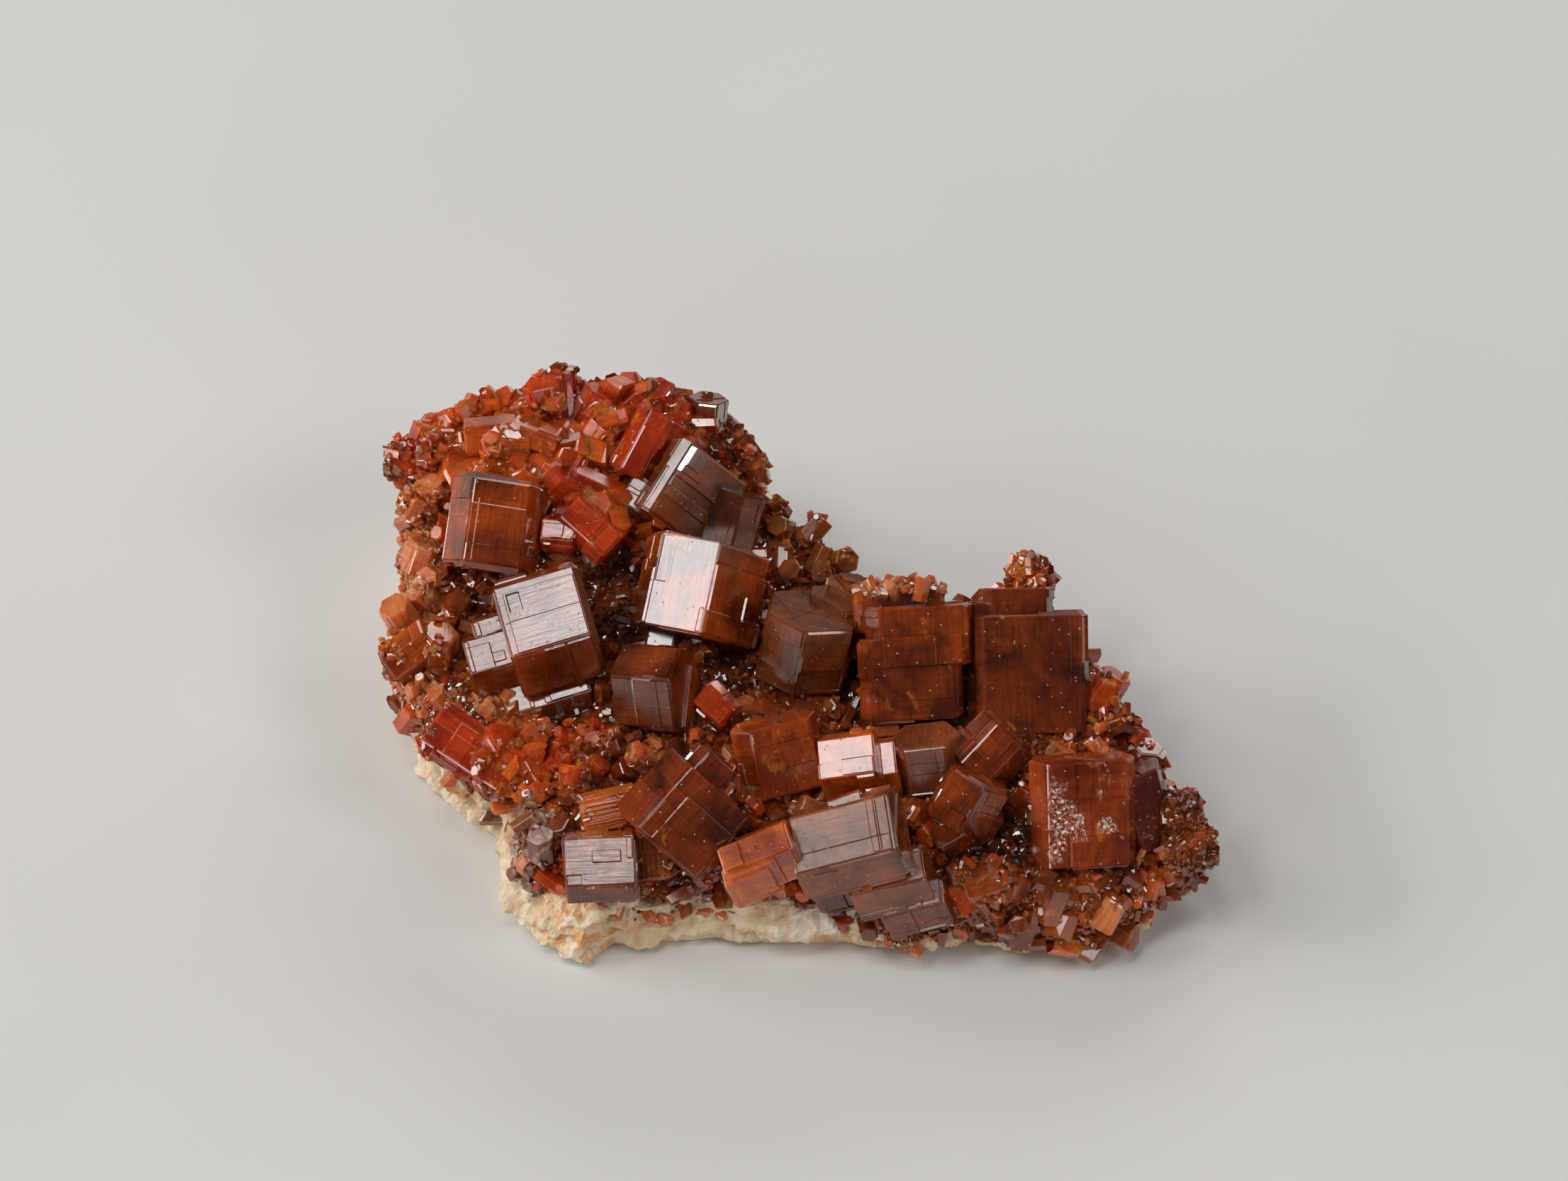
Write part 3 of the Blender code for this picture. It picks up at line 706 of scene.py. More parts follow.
def ring_solid(name, outline, rings):
    """The same closed solid of rings as in the part's source, as a mesh object to refine.

    A ring is (scale of the outline, its height, millimetres outwards, roughness).
    """
    work = bmesh.new()
    loops = []
    for level, (scale, height, outwards, rough) in enumerate(rings):
        loop = []
        for point in outline:
            reach = Vector(point) - PLATE_CENTRE
            bump = rough * noise.noise(Vector((*point, level * 4.1)) / ROCK_LUMP)
            spot = PLATE_CENTRE + reach * scale + reach.normalized() * (outwards + bump)
            loop.append(work.verts.new(row((spot.x, spot.y, height(spot.x, spot.y)))))
        loops.append(loop)
    count = len(outline)
    for upper, lower in zip(loops, loops[1:]):
        for i in range(count):
            j = (i + 1) % count
            work.faces.new((upper[i], lower[i], lower[j], upper[j]))
    for loop, height in ((loops[0], rings[0][1]), (loops[-1], rings[-1][1])):
        middle = work.verts.new(row((*PLATE_CENTRE, height(*PLATE_CENTRE))))
        for i in range(count):
            work.faces.new((middle, loop[i], loop[(i + 1) % count]))
    bmesh.ops.triangulate(work, faces=work.faces)
    bmesh.ops.recalc_face_normals(work, faces=work.faces)
    mesh = bpy.data.meshes.new(name)
    work.to_mesh(mesh)
    work.free()
    return in_scene(name, mesh)


def fine_mesh(obj, voxel):
    """Replaces the object's mesh with an even, fine one of the same form."""
    modifier = obj.modifiers.new("fine", "REMESH")
    modifier.mode = "VOXEL"
    modifier.voxel_size = voxel * METRES
    graph = bpy.context.evaluated_depsgraph_get()
    mesh = bpy.data.meshes.new_from_object(obj.evaluated_get(graph))
    obj.modifiers.clear()
    obj.data = mesh


def displace(obj, amount):
    """Moves each vertex along its normal by amount(place, normal), kept inside the CAD box."""
    mesh = obj.data
    places, normals = triples(mesh.vertices, "co"), triples(mesh.vertex_normals, "vector")
    moved = places.copy()
    for i, (place, normal) in enumerate(zip(places, normals)):
        moved[i] += normal * (amount(Vector(place) / METRES - SHIFT, Vector(normal)) * METRES)
    mesh.vertices.foreach_set("co", np.clip(moved, *CAD_BOX).astype(np.float32).ravel())
    mesh.update()


def fbm(p, size, octaves, seed):
    """Noise in several octaves, the first of which has lumps of size millimetres."""
    place = Vector((p.x + seed, p.y - seed, p.z + seed)) / size
    return noise.fractal(place, 1.0, 2.1, octaves)


# Crystals of the crust


def reach_of(shape):
    """How far from its middle a crystal's corners are at most."""
    _, _, widths, tall = shape
    return math.hypot(tall / 2, max(widths[0] + widths[1], widths[1] + widths[2]))


def outline_reach(outline, angle):
    """How far from PLATE_CENTRE an outline is in a direction."""
    ray = Vector((math.cos(angle), math.sin(angle)))
    for i, start in enumerate(outline):
        a = Vector(start) - PLATE_CENTRE
        b = Vector(outline[(i + 1) % len(outline)]) - PLATE_CENTRE
        across = b - a
        turn = ray.cross(across)
        if abs(turn) < 1e-9:
            continue
        distance = a.cross(across) / turn
        share = a.cross(ray) / turn
        if distance > 0 and 0 <= share <= 1:
            return distance
    return 0.0


def small_crystals(large):
    """The crust's own crystals, where the solids have them."""
    rng = random.Random(7)
    found = []
    tries = 0
    while len(found) < SMALL_CRYSTALS:
        tries += 1
        at_rim = tries <= RIM_CRYSTALS
        angle = 2 * math.pi * tries / RIM_CRYSTALS if at_rim else rng.uniform(0, 2 * math.pi)
        reach = rng.uniform(0.88, 0.94) if at_rim else math.sqrt(rng.uniform(0.02, 0.92))
        edge = outline_reach(CRUST_OUTLINE, angle)
        x = PLATE_CENTRE.x + reach * edge * math.cos(angle)
        y = PLATE_CENTRE.y + reach * edge * math.sin(angle)
        size = rng.uniform(*SMALL_WIDTHS)
        sink = 1.6 if at_rim else -0.2 * size
        centre = Vector((x, y, crust_top(x, y) - sink))
        away = Vector((rng.uniform(-1, 1), rng.uniform(-1, 1), rng.uniform(0.5, 1.4))).normalized()
        turn = Matrix.Rotation(rng.uniform(0, math.pi / 3), 3, "Y")
        axes = Vector((0, 1, 0)).rotation_difference(away).to_matrix() @ turn
        tall = size * rng.uniform(1.8, 2.8) * (0.65 if at_rim else 1.0)
        shape = (centre, axes, even(size), tall)
        if all((centre - other[0]).length > 0.75 * reach_of(other) for other in large + found):
            found.append(shape)
    return found


def inside(shape, point, margin):
    """Whether a point is inside a crystal made smaller by margin."""
    centre, axes, widths, tall = shape
    p = axes.transposed() @ (point - centre)
    if abs(p.y) > tall / 2 - margin:
        return False
    corners = hexagon(widths)
    for i in range(6):
        a, _, out, _ = side_frame(corners, i)
        if (Vector((p.x, p.z)) - a).dot(out) > -margin:
            return False
    return True


def scatter(base, count, seed, keep):
    """Points with their outward direction, evenly over base's surface where keep(point, direction)."""
    mesh = base.data
    mesh.calc_loop_triangles()
    tris = triples(mesh.loop_triangles, "vertices", np.int32)
    places = triples(mesh.vertices, "co").astype(np.float64)
    a, b, c = places[tris[:, 0]], places[tris[:, 1]], places[tris[:, 2]]
    cross = np.cross(b - a, c - a)
    area = np.linalg.norm(cross, axis=1) / 2
    rng = np.random.default_rng(seed)
    found = []
    share = area / area.sum()
    while len(found) < count:
        chosen = rng.choice(len(tris), size=count * 2, p=share)
        u, v = rng.random(count * 2), rng.random(count * 2)
        over = u + v > 1
        u[over], v[over] = 1 - u[over], 1 - v[over]
        points = a[chosen] + (b - a)[chosen] * u[:, None] + (c - a)[chosen] * v[:, None]
        outward = cross[chosen] / (2 * area[chosen])[:, None]
        for point, direction in zip(points, outward):
            p = Vector(point) / METRES - SHIFT
            d = Vector(direction)
            if keep(p, d):
                found.append((p, d))
                if len(found) == count:
                    break
    return found


def tiny_prisms(name, entries, materials):
    """Many small crystals in one mesh: uneven hexagonal prisms with chamfered, oblique ends.

    An entry is (centre, axis, turn, size, tall, slot).
    """
    points, faces, slots, uvs = [], [], [], []
    rng = random.Random(11)
    for centre, axis, turn, size, tall, slot in entries:
        side = axis.orthogonal().normalized()
        other = axis.cross(side)
        shape = hexagon([size * rng.uniform(0.55, 1.35) for _ in range(3)])
        taper = rng.uniform(0.82, 1.0)
        slope = Vector((rng.gauss(0, 0.12), rng.gauss(0, 0.12)))
        edge = 0.14 * size
        start = len(points)
        u0, v0 = rng.uniform(0, 300), rng.uniform(0, 300)
        top = tall / 2
        rings = ((1.0, -top, 0), (taper, top - edge, 1), (taper * 0.84, top, 1))
        for scale, level, oblique in rings:
            for corner in shape:
                x = corner.x * math.cos(turn) - corner.y * math.sin(turn)
                y = corner.x * math.sin(turn) + corner.y * math.cos(turn)
                rise = level + oblique * slope.dot(corner) * 2.0
                spot = centre + side * (x * scale) + other * (y * scale)
                points.append(row(spot + axis * rise))
        for k in range(6):
            j = (k + 1) % 6
            faces.append((start + k, start + j, start + 6 + j, start + 6 + k))
            faces.append((start + 6 + k, start + 6 + j, start + 12 + j, start + 12 + k))
            u = u0 + 9 * k
            uvs += [(u, v0), (u + size, v0), (u + size, v0 + tall), (u, v0 + tall)]
            uvs += [(u, v0), (u + size, v0), (u + size, v0 + edge), (u, v0 + edge)]
        faces.append(tuple(start + 12 + k for k in range(6)))
        uvs += [(u0 + 99 + c.x, v0 + c.y) for c in shape]
        slots += [slot] * 13
    return faced(name, points, faces, uvs, slots, materials, False)


# Materials


def new_material(name):
    """A material with its node tree, its shader and the place on the object in metres."""
    made = bpy.data.materials.new(name)
    made.use_nodes = True
    tree = made.node_tree
    place = tree.nodes.new("ShaderNodeTexCoord").outputs["Object"]
    return made, tree, tree.nodes["Principled BSDF"], place


def feed(tree, value, socket):
    """Links an output to a socket, or gives it a constant value."""
    if isinstance(value, bpy.types.NodeSocket):
        tree.links.new(value, socket)
    else:
        socket.default_value = value


def ramp(tree, source, stops):
    """The colours of stops, (position, colour), between which source moves."""
    made = tree.nodes.new("ShaderNodeValToRGB")
    elements = made.color_ramp.elements
    while len(elements) < len(stops):
        elements.new(0.5)
    for element, (at, colour) in zip(elements, stops):
        element.position = at
        element.color = (*colour, 1)
    tree.links.new(source, made.inputs["Fac"])
    return made.outputs["Color"]


def grey_ramp(tree, source, *stops):
    """The same for greys, (position, value)."""
    return ramp(tree, source, [(at, (value,) * 3) for at, value in stops])


def mapped(tree, source, scale):
    """Coordinates stretched by scale."""
    made = tree.nodes.new("ShaderNodeMapping")
    made.inputs["Scale"].default_value = scale
    tree.links.new(source, made.inputs["Vector"])
    return made.outputs["Vector"]


def noise_node(tree, vector, scale, detail, rough=0.55, distort=0.0):
    """Fractal noise between 0 and 1."""
    made = tree.nodes.new("ShaderNodeTexNoise")
    made.inputs["Scale"].default_value = scale
    made.inputs["Detail"].default_value = detail
    made.inputs["Roughness"].default_value = rough
    made.inputs["Distortion"].default_value = distort
    tree.links.new(vector, made.inputs["Vector"])
    return made.outputs["Fac"]


def cells_node(tree, vector, scale):
    """The distance from the middle of the nearest cell."""
    made = tree.nodes.new("ShaderNodeTexVoronoi")
    made.inputs["Scale"].default_value = scale
    tree.links.new(vector, made.inputs["Vector"])
    return made.outputs["Distance"]


def mix_colour(tree, factor, first, second, blend="MIX"):
    """Two colours mixed, by default to the share factor of the second."""
    made = tree.nodes.new("ShaderNodeMix")
    made.data_type = "RGBA"
    made.blend_type = blend
    for value, index in ((factor, 0), (first, 6), (second, 7)):
        feed(tree, value, made.inputs[index])
    return made.outputs[2]


def combine(tree, operation, first, second):
    """The result of an operation on two values."""
    made = tree.nodes.new("ShaderNodeMath")
    made.operation = operation
    feed(tree, first, made.inputs[0])
    feed(tree, second, made.inputs[1])
    return made.outputs[0]


def times(tree, first, second):
    """The product of two values."""
    return combine(tree, "MULTIPLY", first, second)


def plus(tree, first, second):
    """The sum of two values."""
    return combine(tree, "ADD", first, second)


def bump(tree, shader, height, strength, distance):
    """Gives the shader a bump of distance metres from a height."""
    made = tree.nodes.new("ShaderNodeBump")
    made.inputs["Strength"].default_value = strength
    made.inputs["Distance"].default_value = distance
    tree.links.new(height, made.inputs["Height"])
    tree.links.new(made.outputs["Normal"], shader.inputs["Normal"])


# Where the patched crystal's face is etched, as it is seen, and how far around that
ETCHED_AT = [((19.5, -14.9), 1.5), ((20.2, -16.6), 1.9), ((22.6, -16.7), 1.1), ((19.0, -18.6), 1.0)]


def etching(tree, place, face):
    """Where the patched crystal is etched, from 0 to 1."""
    where = noise_node(tree, mapped(tree, face, (0.9, 0.6, 1.0)), 1.0, 4.0, 0.6, 0.8)
    for middle, reach in ETCHED_AT:
        apart = tree.nodes.new("ShaderNodeVectorMath")
        apart.operation = "DISTANCE"
        tree.links.new(place, apart.inputs[0])
        spot = met_on_side(CLUSTERS["patched_block"][0][0], 0, middle)
        apart.inputs[1].default_value = row(spot)
        away = times(tree, apart.outputs["Value"], 1 / reach / METRES)
        close = combine(tree, "MAXIMUM", combine(tree, "SUBTRACT", 1.0, away), 0.0)
        where = plus(tree, where, times(tree, close, 0.5))
    return grey_ramp(tree, where, (0.64, 0), (0.74, 1))


def crystal_material(
    name,
    dark,
    main,
    mottle_and_glint,
    mottle_and_glint_from,
    roughness=0.05,
    haze=0.13,
    lines=0.5,
    glow=0.6,
    etched=False,
):
    """Glassy vanadinite: cloudy inside, with fine growth lines, a faint bloom and a strong gloss.

    Its colour goes from dark to main in clouds, with flecks of mottle_and_glint, a brighter tone that is
    partly the crystal's own mottling and partly painted glints of light inside it. Pale specks on the
    faces are painted glints as well. lines is how high the growth lines stand, glow is how much light
    goes about inside, and haze how dull the bloom is.
    """
    made, tree, shader, place = new_material(name)
    face = tree.nodes.new("ShaderNodeUVMap")
    face.uv_map = "face_mm"
    face = face.outputs["UV"]
    clouds = noise_node(tree, place, 230.0, 5.0, 0.6, 0.6)
    body = ramp(tree, clouds, [(0.38, dark), (0.64, main)])
    # Flecks of a brighter tone: partly the crystal's own mottling, partly painted glints of light inside
    # it
    mottle_and_glint_flecks = noise_node(tree, place, 600.0, 7.0, 0.7, 0.5)
    mottle_and_glint_flecks = grey_ramp(tree, mottle_and_glint_flecks, (mottle_and_glint_from, 0), (mottle_and_glint_from + 0.14, 1))
    colour = mix_colour(tree, mottle_and_glint_flecks, body, (*mottle_and_glint, 1))

    streak = noise_node(tree, mapped(tree, face, (4.5, 0.3, 1.0)), 1.0, 6.0, 0.66)
    cross = noise_node(tree, mapped(tree, face, (0.3, 2.6, 1.0)), 1.0, 4.0, 0.6)
    lined = plus(tree, times(tree, streak, 0.7), times(tree, cross, 0.3))
    lined = grey_ramp(tree, lined, (0.38, 0.55), (0.64, 1.2))
    colour = mix_colour(tree, 0.8, colour, lined, "MULTIPLY")
    bloom = noise_node(tree, mapped(tree, face, (0.9, 1.5, 1.0)), 1.0, 6.0, 0.62, 0.4)
    dull = roughness + haze
    rough = grey_ramp(tree, bloom, (0.42, roughness), (0.62, roughness + haze * 0.35), (0.8, dull))

    pits = noise_node(tree, face, 7.0, 5.0, 0.7)
    wave = noise_node(tree, mapped(tree, face, (0.35, 0.35, 1.0)), 1.0, 2.0, 0.4)
    # Specks: tiny bumps on the faces, with a pale colour painted on them as glints (painted highlights)
    speck_bumps_and_glints = grey_ramp(tree, cells_node(tree, face, 1.5), (0.05, 1), (0.11, 0))
    height = plus(tree, times(tree, streak, lines), times(tree, pits, 0.10))
    height = plus(tree, height, times(tree, wave, 1.1))
    height = plus(tree, height, times(tree, speck_bumps_and_glints, 3.0))
    colour = mix_colour(tree, times(tree, speck_bumps_and_glints, 0.6), colour, (0.92, 0.66, 0.45, 1))
    if etched:
        where = etching(tree, place, face)
        pitted = times(tree, times(tree, cells_node(tree, face, 2.6), where), 3.0)
        height = plus(tree, height, pitted)
        # Glints: a pale colour painted in spots on the etched patches, as painted highlights
        glints = noise_node(tree, mapped(tree, face, (4.5, 3.6, 1.0)), 1.0, 5.0, 0.7, 0.8)
        glints = grey_ramp(tree, glints, (0.52, 0), (0.58, 1))
        colour = mix_colour(tree, times(tree, glints, where), colour, (0.80, 0.62, 0.52, 1))
    bump(tree, shader, height, 0.35, 0.00006)
    tree.links.new(colour, shader.inputs["Base Color"])
    tree.links.new(rough, shader.inputs["Roughness"])
    shader.inputs["IOR"].default_value = 1.8
    shader.inputs["Subsurface Weight"].default_value = glow
    shader.inputs["Transmission Weight"].default_value = 0.28
    shader.inputs["Subsurface Radius"].default_value = (1.0, 0.32, 0.12)
    shader.inputs["Subsurface Scale"].default_value = 0.0009
    return made


def rock_material(name):
    """Chalky, creamy rock with fine pits, and orange stains in patches."""
    made, tree, shader, place = new_material(name)
    broad = noise_node(tree, place, 160.0, 6.0, 0.6, 0.5)
    creams = [(0.3, (0.58, 0.44, 0.27)), (0.5, (0.76, 0.63, 0.44)), (0.72, (0.88, 0.82, 0.69))]
    stain = noise_node(tree, place, 260.0, 7.0, 0.66, 1.2)
    stain = grey_ramp(tree, stain, (0.46, 0), (0.58, 0.85))
    where = grey_ramp(tree, noise_node(tree, place, 75.0, 3.0, 0.5), (0.36, 0.35), (0.52, 1))
    stained = (0.70, 0.30, 0.09, 1)
    colour = mix_colour(tree, times(tree, stain, where), ramp(tree, broad, creams), stained)
    dust = noise_node(tree, place, 1400.0, 6.0, 0.7)
    dust = grey_ramp(tree, dust, (0.3, 0.4), (0.42, 0))
    colour = mix_colour(tree, dust, colour, (0.40, 0.32, 0.22, 1))
    tree.links.new(colour, shader.inputs["Base Color"])
    shader.inputs["Roughness"].default_value = 0.88
    grains = noise_node(tree, place, 900.0, 8.0, 0.75)
    height = plus(tree, grains, times(tree, cells_node(tree, place, 1300.0), 0.5))
    bump(tree, shader, height, 0.7, 0.00018)
    return made


def floor_material():
    """A pale, matt floor."""
    made, tree, shader, place = new_material("floor")
    greys = [(0.3, (0.64, 0.635, 0.62)), (0.7, (0.68, 0.675, 0.66))]
    tone = ramp(tree, noise_node(tree, place, 14.0, 3.0), greys)
    tree.links.new(tone, shader.inputs["Base Color"])
    shader.inputs["Roughness"].default_value = 0.75
    shader.inputs["IOR"].default_value = 1.3
    return made


# Colours are linear: dark, main and mottle_and_glint, the brighter tone that is partly painted inner
# glints, and where the flecks of it begin
GLASS = {
    "brown": ((0.15, 0.023, 0.004), (0.60, 0.098, 0.011), (0.94, 0.28, 0.03), 0.61),
    "deep_brown": ((0.10, 0.016, 0.004), (0.40, 0.066, 0.010), (0.90, 0.27, 0.032), 0.62),
    "dark_brown": ((0.11, 0.020, 0.005), (0.37, 0.066, 0.011), (0.66, 0.17, 0.02), 0.65),
    "smoky": ((0.10, 0.024, 0.006), (0.34, 0.080, 0.016), (0.62, 0.18, 0.03), 0.62, 0.05, 0.2),
    "orange": ((0.32, 0.044, 0.006), (0.82, 0.155, 0.015), (0.98, 0.35, 0.035), 0.59),
    "amber": ((0.40, 0.060, 0.008), (0.94, 0.21, 0.022), (1.0, 0.42, 0.06), 0.56),
    "red": ((0.40, 0.026, 0.005), (0.84, 0.095, 0.012), (0.95, 0.34, 0.04), 0.57),
    "grey_brown": (
        (0.16, 0.034, 0.010), (0.42, 0.11, 0.028), (0.72, 0.22, 0.04), 0.66, 0.12, 0.3, 0.9,
    ),
    "violet": ((0.09, 0.014, 0.012), (0.24, 0.040, 0.022), (0.6, 0.12, 0.03), 0.64),
    "etched": ((0.20, 0.026, 0.005), (0.54, 0.088, 0.012), (0.95, 0.30, 0.035), 0.60),
    "druse_red": ((0.50, 0.040, 0.007), (1.0, 0.175, 0.022), (1.0, 0.42, 0.08), 0.55),
    "druse_brown": ((0.16, 0.026, 0.005), (0.50, 0.100, 0.014), (0.90, 0.30, 0.05), 0.58),
    "druse_orange": ((0.64, 0.115, 0.028), (1.0, 0.33, 0.105), (1.0, 0.52, 0.27), 0.54),
    "druse_gold": ((0.20, 0.038, 0.008), (0.56, 0.145, 0.028), (0.94, 0.42, 0.11), 0.56),
    # druse_dark is painted shade: the small crystals in the hollows between the large ones get it
    "druse_dark": ((0.045, 0.009, 0.003), (0.16, 0.036, 0.008), (0.5, 0.17, 0.03), 0.66),
    "druse_silver": (
        (0.16, 0.040, 0.018), (0.42, 0.15, 0.075), (0.85, 0.55, 0.4), 0.52, 0.10, 0.2, 1.6,
    ),
}  # fmt: skip
MORE = {"amber": {"glow": 0.7}, "red": {"glow": 0.7}, "druse_red": {"glow": 0.7}}
MORE["etched"] = {"etched": True}
MADE = {name: crystal_material(name, *look, **MORE.get(name, {})) for name, look in GLASS.items()}
ROCK = rock_material("rock")

FINISH = {
    "centre_block": "brown", "left_block": "dark_brown", "upper_block": "smoky",
    "slanted_block": "smoky", "banded_block": "brown", "tall_block": "deep_brown",
    "red_tip": "red", "orange_block": "orange", "white_face_block": "orange",
    "frosted_block": "grey_brown", "stepped_block": "deep_brown", "amber_block": "deep_brown",
    "patched_block": "etched", "violet_block": "violet", "front_block": "grey_brown",
    "tilted_block": "deep_brown", "grey_face_block": "dark_brown", "step_faced_block": "red",
    "smoky_block": "brown", "orange_bars": "red", "peak_cluster": "red", "red_prism": "red",
    "back_pair": "red", "orange_ridge": "orange", "left_corner_pair": "red",
    "left_edge_pair": "orange", "red_slab": "red", "broken_block": "grey_brown",
    "striated_block": "amber", "front_orange_block": "amber", "tip_pair": "brown",
}  # fmt: skip


# The big crystals

SHAPES = {name: [shape for found in blocks for shape in found] for name, blocks in CLUSTERS.items()}
LARGE = [shape for shapes in SHAPES.values() for shape in shapes]
KNOBS = [shape for found in CRUST_KNOBS for shape in found]
SMALL = small_crystals(LARGE + KNOBS)

# Ledges and sunken rectangles of single faces, as (one corner, the opposite one, height) where they
# are seen, by the block, its crystal and the crystal's side face
MARKS = {
    ("left_block", 0, 0): [
        ((-20.0, -0.2), (-11.0, -9.0), 0.13),
        ((-19.75, -0.3), (-18.4, -1.35), -0.22),
        ((-21.5, -2.9), (-11.0, -9.0), 0.05),
    ],
    ("centre_block", 0, 0): [
        ((-8.9, 5.5), (-13.5, -4.0), -0.07),
        ((-8.3, 5.5), (-8.4, 0.6), -0.04),
        ((-5.9, -1.2), (-4.0, -5.0), 0.05),
    ],
    ("broken_block", 0, 0): [
        ((-13.6, -18.3), (-11.4, -19.15), 0.16),
        ((-11.1, -17.0), (-9.0, -18.8), 0.14),
        ((-17.0, -20.2), (-14.2, -23.0), -0.12),
    ],
    ("tall_block", 0, 0): [
        ((13.0, 0.0), (15.3, -11.5), -0.07),
        ((20.2, 0.0), (22.5, -6.6), -0.06),
        ((13.0, -4.6), (22.5, -4.9), 0.04),
        ((13.0, -3.6), (14.9, -4.3), 0.09),
    ],
    ("banded_block", 0, 0): [
        ((4.5, -5.6), (13.0, -5.9), -0.05),
        ((6.6, -1.0), (7.1, -11.0), -0.06),
        ((9.3, -1.0), (9.8, -5.5), 0.10),
        ((4.5, -7.4), (13.0, -7.6), 0.04),
    ],
    ("white_face_block", 0, 0): [
        ((4.0, -11.9), (9.5, -13.4), 0.04),
    ],
    ("front_block", 0, 0): [
        ((-1.0, -15.9), (10.0, -16.5), 0.05),
        ((6.2, -13.0), (6.6, -20.0), 0.05),
        ((6.9, -13.0), (7.1, -20.0), -0.04),
    ],
}


STRIATED_KNOB = 8


def own_plates(name, index, shape, rng):
    """The plates of the faces that have marks or stripes of their own."""
    found = {}
    for face in range(6):
        if (name, index, face) in MARKS:
            found[face] = seen_marks(shape, face, MARKS[name, index, face])
        elif name == "striated_block" or (name == "knob" and index == STRIATED_KNOB):
            found[face] = stripes(2.2, shape[3], rng, 0.34, 0.26)
    return found


for index, (name, shapes) in enumerate(SHAPES.items()):
    rng = random.Random(100 + index)
    sheet = Sheet()
    for k, shape in enumerate(shapes):
        crystal(sheet, shape, 0, rng, own_plates(name, k, shape, rng))
    piece = sheet.make("fine_" + name, [MADE[FINISH[name]]])
    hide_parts(name)
    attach(piece, "root")


# The rock


def top_of_rock(drop):
    """The height of a ring on the rock's upper face."""
    return lambda x, y: matrix_top(x, y) - drop


def side_of_rock(level):
    """The height of a ring on the rock's side, at a share of the whole height."""
    return lambda x, y: level * matrix_top(x, y)


rock = ring_solid(
    "rock",
    MATRIX_OUTLINE,
    [
        (0.3, top_of_rock(0.0), 0.0, 0.0),
        (0.55, top_of_rock(0.0), 0.0, 0.0),
        (0.76, top_of_rock(0.1), 0.0, 0.0),
        (0.9, top_of_rock(0.5), 0.0, 0.4),
        (0.96, side_of_rock(0.8), 0.0, 1.0),
        (0.99, side_of_rock(0.6), 0.0, 1.4),
        (1.0, side_of_rock(0.4), 0.0, 1.6),
        (0.99, side_of_rock(0.2), 0.0, 1.6),
        (0.965, lambda x, y: 0.0, 0.0, 1.0),
    ],
)
fine_mesh(rock, ROCK_VOXEL)


CRUST_REACH = [outline_reach(CRUST_OUTLINE, math.radians(k)) for k in range(360)]


def under_crust(p):
    """How many millimetres inside the crust's outline a place is."""
    away = Vector((p.x, p.y)) - PLATE_CENTRE
    angle = math.degrees(math.atan2(away.y, away.x)) % 360
    k = int(angle)
    reach = CRUST_REACH[k] + (CRUST_REACH[(k + 1) % 360] - CRUST_REACH[k]) * (angle - k)
    return reach - away.length


def rock_relief(p, n):
    """How far out the rock's surface is at a place: lumps, knobs and pits, with the underside flat."""
    if n.z < -0.7:
        return 0.0
    low = min(1.0, p.z)
    if n.z > 0.3 and under_crust(p) > 1.2:
        return -0.5
    lumps = 0.75 * fbm(p, 3.4, 4, 5.0) + 0.42 * fbm(p, 1.2, 5, 17.0)
    knobs = 0.35 * max(0.0, noise.noise(p / 0.8 + Vector((7, 1, 4)))) ** 0.5
    pits = -0.9 * max(0.0, noise.noise(p + Vector((3, 8, 1))) - 0.3)
    return (lumps + knobs + pits - 0.05) * low


displace(rock, rock_relief)
rock.data.materials.append(ROCK)
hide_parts("matrix")
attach(rock, "root")


DRUSE = [MADE["druse_" + name] for name in ("brown", "red", "gold", "orange", "dark", "silver")]
BROWN_ONES, RED_ONES, GOLD_ONES, ORANGE_ONES, SHADED_ONES, SILVER_ONES = range(6)

